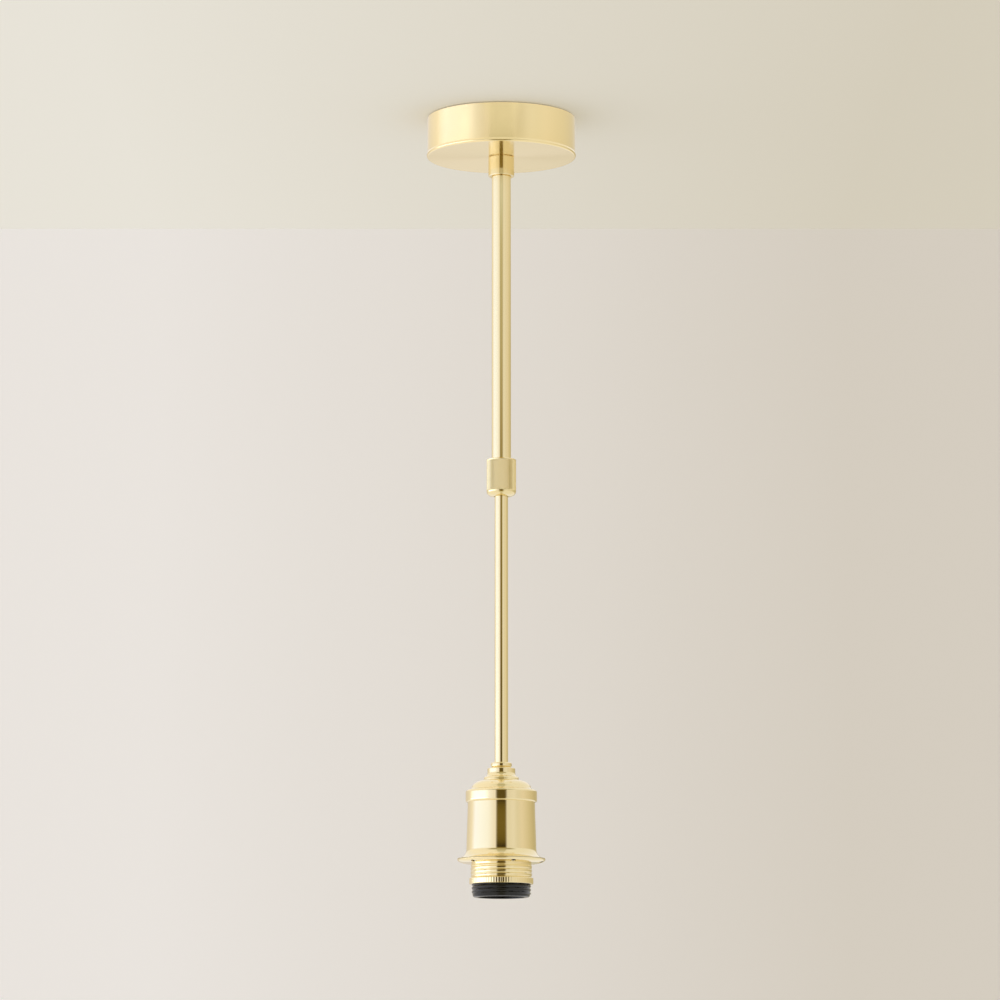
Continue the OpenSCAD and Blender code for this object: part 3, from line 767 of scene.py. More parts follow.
@dataclass
class CeilingEnd:
    """Ceiling cup, bracket, hollow nipple, terminal block and coupler.

    Attributes:
        cup_r: radius of the cup.
        cup_wall: its wall.
        roll: how far its rolled edge stands proud.
        roll_r: radius of that edge.
        nipple_r: radius of the nipple's thread.
        nipple_bore_r: radius of its bore.
        nipple_pitch: pitch of its thread.
        nipple_depth: depth of that thread.
        coupler_r: radius of the coupler.
        seam: height of the shadow line above it.
        seam_depth: depth of that line.
        tube_r: radius of the tube in its socket.
        hardware: CAD nodes with their finish and eased edge.
    """

    cup_r: float = 50.0
    cup_wall: float = 1.0
    roll: float = 0.48
    roll_r: float = 0.9
    nipple_r: float = 5.0
    nipple_bore_r: float = 3.5
    nipple_pitch: float = 1.0
    nipple_depth: float = 0.45
    coupler_r: float = 8.75
    seam: float = 0.55
    seam_depth: float = 1.6
    tube_r: float = 6.5
    hardware: dict[str, tuple[Finish, float]] = field(
        default_factory=lambda: {
            "ceiling_bracket": (ZINC_STEEL, 0.25),
            "nipple_nut_top": (ZINC_STEEL, 0.25),
            "nipple_nut_bottom": (ZINC_STEEL, 0.25),
            "shakeproof_washer": (ZINC_STEEL, 0.1),
            "terminal_block": (WHITE_NYLON, 0.35),
            "terminal_inserts": (RAW_BRASS, 0.1),
            "terminal_screws": (ZINC_STEEL, 0.12),
            "earth_screw": (RAW_BRASS, 0.15),
            "cord_grip": (BLACK_THERMOSET, 0.25),
        }
    )

    def cup(self) -> None:
        """Makes the ceiling cup with its rolled edge and flat spun underside."""
        r, wall, roll_r, hole = self.cup_r, self.cup_wall, self.roll_r, self.nipple_r + 0.07
        inner = wall + 0.2
        outline = [
            *run(r, 0.0, r, H.cup + 2.6, 6.0),
            *arc(r + self.roll - roll_r, H.cup + roll_r + 0.3, roll_r, 25, -90, 12, roll_r + 0.3),
            *run(r - 3.0, H.cup, hole, H.cup, 6.0),
            (hole, H.cup + wall),
            *arc(r - wall - inner, H.cup + wall + inner, inner, -90, 0, 8),
            (r - wall, 0.0),
        ]
        finish_piece(turned(outline, 256, 0.1), "ceiling_cup", BRUSHED_BRASS, "root", "canopy_cup")

    def nipple(self) -> None:
        """Makes the hollow nipple with its rolled thread."""
        r, bore, low, high, chamfer = self.nipple_r, self.nipple_bore_r, H.nipple, H.nipple_top, 0.5
        outline = [
            (bore, low),
            (r - chamfer, low),
            *run(r, low + chamfer, r, high - chamfer, 0.125),
            (r - chamfer, high),
            (bore, high),
        ]
        work = turned(outline, 72, 0.0)

        def rule(distance: float, angle: float, z: float) -> float:
            """Returns the move that cuts the thread."""
            if distance <= r - 0.1:
                return 0.0
            return -self.nipple_depth * (1 - screw_wave(angle, z, self.nipple_pitch)) * fade(z, low, high, 0.8)

        shift_radially(work, rule)
        finish_piece(work, "hollow_nipple", ZINC_STEEL, "root", "threaded_nipple", 40.0)

    def coupler(self) -> None:
        """Makes the coupler, with the shadow lines above it and round the fixed tube."""
        r, seam, neck_r, sink, sink_r = self.coupler_r, self.seam, self.coupler_r - self.seam_depth, 0.3, 1.0
        outline = [
            (self.nipple_r, H.cup),
            (neck_r, H.cup),
            (neck_r, H.cup - seam),
            (r, H.cup - seam),
            (r, H.coupler + 0.1),
            (r - 0.1, H.coupler),
            (self.tube_r + sink_r, H.coupler),
            (self.tube_r + sink_r, H.coupler + sink),
            (self.tube_r, H.coupler + sink),
            (self.tube_r, H.tube_top),
            (self.nipple_bore_r, H.tube_top),
            (self.nipple_bore_r, H.nipple),
            (self.nipple_r, H.nipple),
        ]
        finish_piece(turned(outline, 160, 0.04), "coupler", POLISHED_BRASS, "root", "coupler_collar")

    def build(self) -> None:
        """Makes every piece of the ceiling end."""
        self.cup()
        self.nipple()
        self.coupler()
        for node, (finish, width) in self.hardware.items():
            softened(node, node + "_eased", finish, "root", width)


# ---- Tubes and clamp ----


@dataclass
class TubesAndClamp:
    """Fixed tube, reeded locking collar, collet, guide bush and sliding rod.

    Attributes:
        tube_r: radius of the fixed tube.
        tube_bore_r: radius of its bore.
        rod_r: radius of the rod.
        rod_bore_r: radius of its bore.
        collar_r: radius over the reeds.
        nose: height of the collar's plain rounded nose.
        reeds: number of reeds.
        reed_depth: depth of the grooves between them.
        thread_r: radius of the collar's bore on the collet.
        cone_r: radii of the cone that closes the collet, lower and upper.
    """

    tube_r: float = 6.5
    tube_bore_r: float = 5.5
    rod_r: float = 4.5
    rod_bore_r: float = 3.5
    collar_r: float = 9.9
    nose: float = 3.4
    reeds: int = 96
    reed_depth: float = 0.2
    thread_r: float = 8.07
    cone_r: tuple[float, float] = (6.15, 7.75)

    def tubes(self) -> None:
        """Makes the two plain drawn tubes."""
        for name, body, node, r, bore, low, high in (
            ("fixed_tube", "root", "upper_tube", self.tube_r, self.tube_bore_r, H.tube_end, H.tube_top),
            ("sliding_rod", "rod", "lower_tube", self.rod_r, self.rod_bore_r, H.rod_end, H.rod_top),
        ):
            outline = [*run(bore, low, bore, high, 20.0), *run(r, high, r, low, 20.0)]
            finish_piece(turned(outline, 128, 0.08), name, SATIN_BRASS, body, node)

    def collar(self) -> None:
        """Makes the locking collar with its reeds and rounded nose."""
        r, top, nose_top, reed_top = self.collar_r, H.collar_top, H.collar + self.nose, H.collar_top - 0.8
        exit_r, chamfer = self.rod_r + 0.3, 0.4
        nose_r = exit_r + 0.5
        outline = [
            (self.thread_r, top),
            (r - chamfer, top),
            (r, top - chamfer),
            (r, reed_top + 0.05),
            (r, reed_top - 0.25),
            *run(r, reed_top - 0.3, r, nose_top + 0.65, 4.0),
            (r, nose_top + 0.35),
            (r, nose_top),
            *arc(nose_r, nose_top, r - nose_r, -15, -90, 12, self.nose),
            (exit_r, H.collar),
            (exit_r, H.tips),
            (self.cone_r[0], H.tips),
            (self.cone_r[1], H.fingers),
            (self.thread_r, H.fingers),
        ]
        work = turned(outline, self.reeds * 6, 0.0)

        def rule(distance: float, angle: float, z: float) -> float:
            """Returns the move that cuts the grooves between the reeds."""
            if distance < r - 0.05 or not nose_top + 0.4 <= z <= reed_top:
                return 0.0
            return -self.reed_depth * groove(self.reeds * angle)

        shift_radially(work, rule)
        finish_piece(work, "reeded_collar", REEDED_BRASS, "locking_collar", "locking_collar", 40.0)

    def build(self) -> None:
        """Makes the tubes and the collar, and dresses what they hide."""
        self.tubes()
        self.collar()
        softened("collet_ferrule", "collet", RAW_BRASS, "root", 0.12)
        softened("guide_bush", "guide_bush_eased", RAW_BRASS, "guide_bush", 0.3)
        softened("rod_stop_ring", "stop_ring", RAW_BRASS, "rod", 0.2)


# ---- Lampholder shell ----


@dataclass
class LampholderShell:
    """Bead nut, domed cap with its band, flared body and vent flange.

    Attributes:
        rod_r: radius of the rod through the bead nut and cap.
        bead_r: radius of the bead nut.
        neck_r: radius of the cap's neck.
        cove_r: radius of the step below the neck.
        dome_r: radius at the foot of the dome.
        band_r: radius of the band.
        cap_wall: metal thickness of the cap.
        body_top_r: radius of the body below the band.
        foot_r: radius where its flare starts.
        end_slopes: slope of its side just below the band and just above the flare.
        flare_w: half width of the ellipse that the flare follows.
        flare_h: its half height.
        body_wall: metal thickness of the body.
        flange_r: radius of the flange's rim.
        flange_wall: metal thickness of the flange.
        dish_w: width of the flange's rounded rim.
        dish_h: height of that rim.
        skirt_r: radius of the skirt's thread.
        vents: number of vents.
        vent_r: radius of each vent.
        vent_inset: distance from the rim to the middle of a vent.
        vent_turn: turn of the first vent from the front, in degrees.
    """

    rod_r: float = 4.5
    bead_r: float = 7.0
    neck_r: float = 9.25
    cove_r: float = 11.6
    dome_r: float = 19.9
    band_r: float = 23.7
    cap_wall: float = 0.9
    body_top_r: float = 22.35
    foot_r: float = 23.2
    end_slopes: tuple[float, float] = (0.0087, 0.0148)
    flare_w: float = 7.9
    flare_h: float = 6.6
    body_wall: float = 0.8
    flange_r: float = 29.3
    flange_wall: float = 0.7
    dish_w: float = 6.3
    dish_h: float = 2.7
    skirt_r: float = 19.6
    vents: int = 6
    vent_r: float = 1.9
    vent_inset: float = 3.0
    vent_turn: float = 17.0

    def bead(self) -> None:
        """Makes the bead nut on top of the cap."""
        r, round_r = self.bead_r, 1.0
        outline = [
            (self.rod_r, H.bead_top),
            *arc(r - round_r, H.bead_top - round_r, round_r, 90, 0, 12),
            *arc(r - round_r, H.cap_top + round_r * 1.6, round_r, 0, -80, 10, 0.6),
            (r - 0.7, H.cap_top + 0.8),
            (r - 0.35, H.cap_top + 0.45),
            (r - 0.3, H.cap_top),
            (self.rod_r, H.cap_top),
        ]
        finish_piece(turned(outline, 128, 0.06), "bead_nut_turned", POLISHED_BRASS, "rod", "bead_nut")

    def cap(self) -> None:
        """Makes the cap: neck, cove, domed shoulder and band."""
        wall, neck, cove, dome, band = self.cap_wall, self.neck_r, self.cove_r, self.dome_r, self.band_r
        top, roof, shoulder = H.cap_top, H.band_top, band - 1.4
        foot_z, cove_w, cove_h = H.neck + 0.3, cove - 0.45 - neck, 3.0
        seat_r, seat_z = self.body_top_r + 0.07, H.band + 7.1
        outline = [
            (self.rod_r, top),
            *arc(neck - 0.4, top - 0.4, 0.4, 90, 0, 6),
            (neck, foot_z),
            *arc(neck + cove_w, foot_z, cove_w, 187, 262, 14, cove_h),
            (cove - 0.2, foot_z - cove_h - 0.35),
            (cove + 0.1, foot_z - cove_h - 1.3),
            (cove + 0.2, H.dome_top - 0.05),
            *arc(cove, roof, dome - cove, 84, 16, 22, 5.9),
            (dome - 0.05, roof + 0.75),
            (dome + 0.45, roof + 0.05),
            (dome + 1.3, roof - 0.4),
            *arc(shoulder, roof - 2.35, 1.4, 76, 0, 14, 1.75),
            *arc(band - 1.0, H.band + 1.5, 1.0, 0, -80, 12, 1.45),
            (seat_r, H.band),
            (seat_r, seat_z),
            (dome - wall, seat_z),
            (dome - wall, roof),
            *arc(cove, roof, dome - cove - wall, 10, 85, 12, 5.0),
            (cove - wall, H.dome_top - wall),
            (neck - wall, H.neck - 1),
            (neck - wall, top - 1.2),
            (self.rod_r, top - 1.2),
        ]
        finish_piece(turned(outline, 192, 0.06), "cap_with_band", TURNED_BRASS, "rod", "holder_cap")

    def body(self) -> None:
        """Makes the body, which swells softly from its top down to its flare."""
        wall, top_r, top, steps = self.body_wall, self.body_top_r, H.band + 7.0, 24
        x, z = self.foot_r + self.flare_w, H.body + 6.4
        length = H.band - z
        outline = [
            (top_r - wall, top),
            (top_r, top),
            *((top_r + self.swell(i / steps, length), H.band - length * i / steps) for i in range(steps)),
            *arc(x, z, self.flare_w, 180, 255, 32, self.flare_h),
            (self.flange_r - 0.15, H.body + 0.28),
            (self.flange_r - 0.3, H.body + 0.16),
            (self.flange_r - 0.9, H.body),
            (x - 4.3, H.body),
            *arc(x, z, self.flare_w + wall, 239, 180, 20, self.flare_h + wall),
            (top_r - wall, H.band - 3.0),
        ]
        finish_piece(turned(outline, 192, 0.05), "flared_body", POLISHED_BRASS, "rod", "holder_body")

    def swell(self, share: float, length: float) -> float:
        """Gives how far the body has swollen at a share of its length.

        Args:
            share: share of the length, from the band down.
            length: length between the band and the flare.

        Returns:
            The growth of its radius, whose slope is gentle at both ends and greatest midway.
        """
        first, last = self.end_slopes
        belly = 6 * (self.foot_r - self.body_top_r) / length - 3 * (first + last)
        ends = first * share + (last - first) * share**2 / 2
        return length * (ends + belly * (share**2 / 2 - share**3 / 3))

    def flange(self) -> None:
        """Makes the dished flange and drills its vents."""
        r, wall, dish_w, dish_h = self.flange_r, self.flange_wall, self.dish_w, self.dish_h
        bore = self.skirt_r + 0.3
        outline = [
            (bore, H.flange),
            *arc(r - dish_w, H.flange + dish_h, dish_w, -90, -4, 28, dish_h),
            (r - 0.12, H.body - 0.2),
            (r - 0.6, H.body),
            (r - 1.3, H.body),
            *arc(r - dish_w, H.flange + dish_h, dish_w - wall - 0.3, -2, -90, 20, dish_h - wall),
            (bore, H.flange + wall),
        ]
        piece = finish_piece(turned(outline, 192, 0.05), "dished_flange", POLISHED_BRASS, "rod", "vent_flange")
        drill, round_r, middle_r = bmesh.new(), self.vent_r, r - self.vent_inset
        for i in range(self.vents):
            turn = math.radians(self.vent_turn - 90 + 360 * i / self.vents)
            spot = Vector((middle_r * math.cos(turn), middle_r * math.sin(turn), H.flange))
            sizes = {"segments": 48, "radius1": round_r, "radius2": round_r, "depth": 9.0}
            bmesh.ops.create_cone(drill, cap_ends=True, matrix=Matrix.Translation(spot), **sizes)
        cut_with(piece, drill)

    def build(self) -> None:
        """Makes the shell's pieces and dresses what they hide."""
        self.bead()
        self.cap()
        self.body()
        self.flange()
        softened("cap_lock_nut", "lock_nut", ZINC_STEEL, "rod", 0.2)
        dress_node("earth_tag", RAW_BRASS)


# ---- Shade ring and skirt ----


@dataclass
class ShadeEnd:
    """Brass shade ring with rolled thread and milled edge, on the black threaded skirt.

    Attributes:
        skirt_r: crest radius of the skirt's thread.
        skirt_bore_r: radius of its bore.
        depth: depth of the shade thread.
        pitch: pitch of the shade thread.
        start: angle round the axis at which both threads start.
        edge_r: radius of the milled edge.
        edge_h: its height.
        teeth: number of teeth on it.
        tooth: depth of each tooth.
    """

    skirt_r: float = 19.6
    skirt_bore_r: float = 15.6
    depth: float = 0.7
    pitch: float = 2.5
    start: float = math.pi / 2
    edge_r: float = 21.2
    edge_h: float = 4.2
    teeth: int = 74
    tooth: float = 0.12

    def ring(self) -> None:
        """Makes the shade ring."""
        bore, tube_r, rib = self.skirt_r + 0.07, self.skirt_r + 0.37, 0.3
        top, low, r, edge_top = H.flange, H.ring, self.edge_r, H.ring + self.edge_h
        rib_z = edge_top + 4.0
        outline = [
            (bore, top),
            *run(tube_r, top, tube_r, edge_top + 0.3, 0.2),
            (r - 0.5, edge_top + 0.05),
            (r - 0.15, edge_top - 0.15),
            (r, edge_top - 0.4),
            (r, low + 0.5),
            (r - 0.2, low + 0.15),
            (r - 0.6, low),
            (bore, low),
        ]
        work = turned(outline, self.teeth * 8, 0.0)

        def rule(distance: float, angle: float, z: float) -> float:
            """Returns the move that rolls the ribs and mills the teeth."""
            if distance > r - 0.2 and z < edge_top:
                return -self.tooth * groove(self.teeth * angle)
            if abs(distance - tube_r) < 0.01:
                wave = min(1.0, 2 * screw_wave(angle + self.start, z - rib_z, self.pitch))
                return rib * wave * fade(z, edge_top + 0.2, top - 0.9, 0.5)
            return 0.0

        shift_radially(work, rule)
        finish_piece(work, "rolled_shade_ring", POLISHED_BRASS, "shade_ring", "shade_ring", 35.0)

    def skirt(self) -> None:
        """Makes the skirt with its shoulder, thread and rounded mouth."""
        bore, root, shoulder, step = self.skirt_bore_r, self.skirt_r - self.depth, self.skirt_r + 1.9, 1.5
        seat, crest, mouth_h = H.flange + 0.7, H.mouth + 4.2, 1.4
        shoulder_top = seat + 3.6
        outline = [
            (bore, H.base),
            (shoulder - step, H.base),
            (shoulder - step, shoulder_top),
            (shoulder, shoulder_top),
            (shoulder, seat),
            *run(root, seat, root, H.mouth + 1.5, 0.2),
            *arc(root - 1.5, H.mouth + mouth_h, 1.5, -8, -90, 12, mouth_h),
            (bore, H.mouth),
            *run(bore, H.mouth + 0.8, bore, H.base - 0.5, 8.0),
        ]
        work = turned(outline, 160, 0.15)

        def rule(distance: float, angle: float, z: float) -> float:
            """Returns the move that raises the thread, its crests round and its roots sharp."""
            if abs(distance - root) > 0.03 or z > seat - 0.2:
                return 0.0
            wave = math.sqrt(screw_wave(angle + self.start, z - crest, self.pitch))
            return self.depth * wave * fade(z, H.mouth + mouth_h, seat, 1.0)

        shift_radially(work, rule)
        finish_piece(work, "moulded_skirt", BLACK_THERMOSET, "rod", "threaded_skirt", 35.0)

    def build(self) -> None:
        """Makes the ring and the skirt."""
        self.ring()
        self.skirt()


# ---- Lamp contacts ----


@dataclass
class LampSocket:
    """Screw shell, centre contact, rivet and the porcelain base that carries them.

    Attributes:
        lamp_r: crest radius of the lamp thread.
        depth: depth of that thread.
        pitch: its pitch.
        sheet: thickness of the shell's metal.
        flange_r: radius of the shell's flange.
        leaf_w: width of the centre contact.
        leaf_t: its thickness.
        rivet_x: where its rivet stands.
    """

    lamp_r: float = 12.3
    depth: float = 1.0
    pitch: float = 3.63
    sheet: float = 0.4
    flange_r: float = 15.3
    leaf_w: float = 5.0
    leaf_t: float = 0.5
    rivet_x: float = 9.0

    def shell(self) -> None:
        """Makes the screw shell, its thread rolled into the sheet."""
        wide = self.lamp_r + self.depth
        low = H.base - 6.0 - 5 * self.pitch - 2.0
        outline = [
            *run(wide, H.base, wide, low, 0.3),
            *run(wide + self.sheet, low, wide + self.sheet, H.base - 0.5, 0.3),
            (self.flange_r, H.base - 0.5),
            (self.flange_r, H.base),
        ]
        work = turned(outline, 128, 0.0)
        crest = H.base - 7.6

        def rule(distance: float, angle: float, z: float) -> float:
            """Returns the move that rolls the thread inwards."""
            if distance > wide + self.sheet + 0.05:
                return 0.0
            wave = screw_wave(angle, z - crest, self.pitch, 0.15)
            return -self.depth * wave * fade(z, low + 0.8, H.base - 3.5, 1.5)

        shift_radially(work, rule)
        finish_piece(work, "rolled_screw_shell", NICKEL_SHELL, "rod", "screw_shell", 40.0)

    def contact(self) -> None:
        """Makes the bent leaf of the centre contact and its domed rivet."""
        t, x, tip = self.leaf_t, self.rivet_x, -2.5
        side = [
            (x + 2, 0),
            (x + 2, -t),
            (x - 3, -t),
            (tip + 3, -4),
            (tip, -4),
            (tip - 2, -2.4),
            (tip - 1.5, -2.1),
            (tip + 0.3, -4 + t),
            (tip + 2.8, -4 + t),
            (x - 3, 0),
        ]
        work = bmesh.new()
        corners = [work.verts.new((a, -self.leaf_w / 2, H.base + b)) for a, b in side]
        face = work.faces.new(corners)
        grown = bmesh.ops.extrude_face_region(work, geom=[face])["geom"]
        moved = [part for part in grown if isinstance(part, bmesh.types.BMVert)]
        bmesh.ops.translate(work, vec=(0, self.leaf_w, 0), verts=moved)
        bmesh.ops.recalc_face_normals(work, faces=work.faces)
        ease(work, 0.12, 25.0)
        finish_piece(work, "contact_leaf", RAW_BRASS, "rod", "centre_contact", 30.0)
        face_z = H.base - t
        head = [
            (0.0, face_z + 6.5),
            (1.5, face_z + 6.5),
            (1.5, face_z),
            (2.3, face_z),
            *arc(0.0, face_z, 2.3, -12, -90, 10, 0.9),
        ]
        rivet = turned(head, 48, 0.0)
        bmesh.ops.translate(rivet, vec=(x, 0, 0), verts=rivet.verts)
        finish_piece(rivet, "domed_rivet", RAW_BRASS, "rod", "contact_rivet", 40.0)

    def build(self) -> None:
        """Makes the contacts and dresses the base and its terminals."""
        self.shell()
        self.contact()
        softened("contact_base", "porcelain_base", PORCELAIN, "rod", 0.4)
        softened("holder_terminals", "holder_terminals_eased", RAW_BRASS, "rod", 0.2)
        softened("holder_terminal_screws", "holder_screws_eased", ZINC_STEEL, "rod", 0.12)


# ---- Inner flex ----


@dataclass
class InnerFlex:
    """Flex from the terminal block through the tubes to the lampholder's terminals.

    Attributes:
        radius: radius of the flex.
        core: radius of one core.
        coil_r: radius of the curly stretch.
        turns: turns of the curly stretch.
        squeeze: length of the curly stretch with the rod right up, as a share of its length at rest; not used.
    """

    radius: float = 1.0
    core: float = 0.6
    coil_r: float = 3.2
    turns: int = 10
    squeeze: float = 21.6 / 193.6

    def upper(self) -> None:
        """Makes the lead from the terminal block down the nipple."""
        route = [
            (0, 0, H.coil_top),
            (0, 0, H.cup),
            (0, 0, -16.5),
            (0, 0, H.nipple_top),
            (0, 0, -7.2),
            (0, 0.6, -5.4),
            (0, 2.2, -4.0),
            (0, 4.4, -3.8),
            (0, 6.6, -4.8),
            (0, 8.0, -6.6),
            (0, 8.7, -8.175),
            (0, 9.8, -9.35),
            (0, 12.1, -9.75),
            (0, 15.5, -9.75),
        ]
        work = tube(smooth_route(route), self.radius)
        finish_piece(work, "flex_to_terminals", FLEX_SHEATH, "root", "flex_upper", 50.0)

    def coil(self) -> None:
        """Makes the curly stretch in the fixed tube."""
        steps, lead, ramp = 36, 4.0, 24
        length = H.coil_top - H.rod_top
        count = self.turns * steps
        route = [Vector((0, 0, H.coil_top)), Vector((0, 0, H.coil_top - lead / 2))]
        for i in range(count + 1):
            r = self.coil_r * min(1.0, i / ramp, (count - i) / ramp)
            turn = math.tau * i / steps
            z = H.coil_top - lead - (length - 2 * lead) * i / count
            route.append(Vector((r * math.cos(turn), r * math.sin(turn), z)))
        route += [Vector((0, 0, H.rod_top + lead / 2)), Vector((0, 0, H.rod_top))]
        work = tube(route, self.radius, 10)
        piece = finish_piece(work, "curly_flex", FLEX_SHEATH, "root", "flex_coil", 50.0)
        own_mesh(piece)

    def lower(self) -> None:
        """Makes the stretch in the rod."""
        route = [Vector((0, 0, z)) for z in (H.rod_top, -300.0, -380.0, H.split)]
        finish_piece(tube(route, self.radius, 16), "flex_in_rod", FLEX_SHEATH, "rod", "flex_lower", 50.0)

    def cores(self) -> None:
        """Makes the three cores that part from the flex in the cap."""
        wire = H.base_top + 1.4
        for side, name, finish in ((-1, "core_blue", CORE_BLUE), (1, "core_brown", CORE_BROWN)):
            route = [
                (side * 0.7, -0.3, H.split),
                (side * 0.9, -0.3, H.split - 2),
                (side * 2, -0.2, H.split - 5),
                (side * 3.6, 0, H.split - 9),
                (side * 4.9, 0, (H.split - 9 + wire) / 2),
                (side * 6, 0, wire + 1.6),
                (side * 7, 0, wire + 0.3),
                (side * 8, 0, wire),
                (side * 12.5, 0, wire),
            ]
            work = tube(smooth_route(route, 4), self.core, 10)
            finish_piece(work, name, finish, "rod", "flex_cores", 50.0)
        route = [
            (0, 0.6, H.split),
            (0, 0.9, H.split - 1.6),
            (0, 2.6, H.split - 2.4),
            (0, 4.6, H.split - 0.8),
            (0, 6.3, H.split + 2.4),
            (0, 7.2, -447.4),
            (0, 7.2, -445.4),
            (0, 7.2, -442.7),
        ]
        work = tube(smooth_route(route, 4), self.core, 10)
        finish_piece(work, "core_earth", CORE_EARTH, "rod", "flex_cores", 50.0)

    def build(self) -> None:
        """Makes every stretch of the flex."""
        self.upper()
        self.coil()
        self.lower()
        self.cores()


# ---- Studio ----


def stage_sheet(name: str, paint: bpy.types.Material, corners: Sequence[Sequence[float]]) -> bpy.types.Object:
    """Makes a flat sheet of the studio.

    Args:
        name: name of the sheet.
        paint: its material.
        corners: its corners in mm, turning so that it faces the lamp.

    Returns:
        The sheet.
    """
    work = bmesh.new()
    work.faces.new([work.verts.new(Vector(corner) * MM) for corner in corners])
    mesh = bpy.data.meshes.new(name)
    work.to_mesh(mesh)
    work.free()
    mesh.materials.append(paint)
    sheet = bpy.data.objects.new(name, mesh)
    bpy.context.scene.collection.objects.link(sheet)
    return sheet


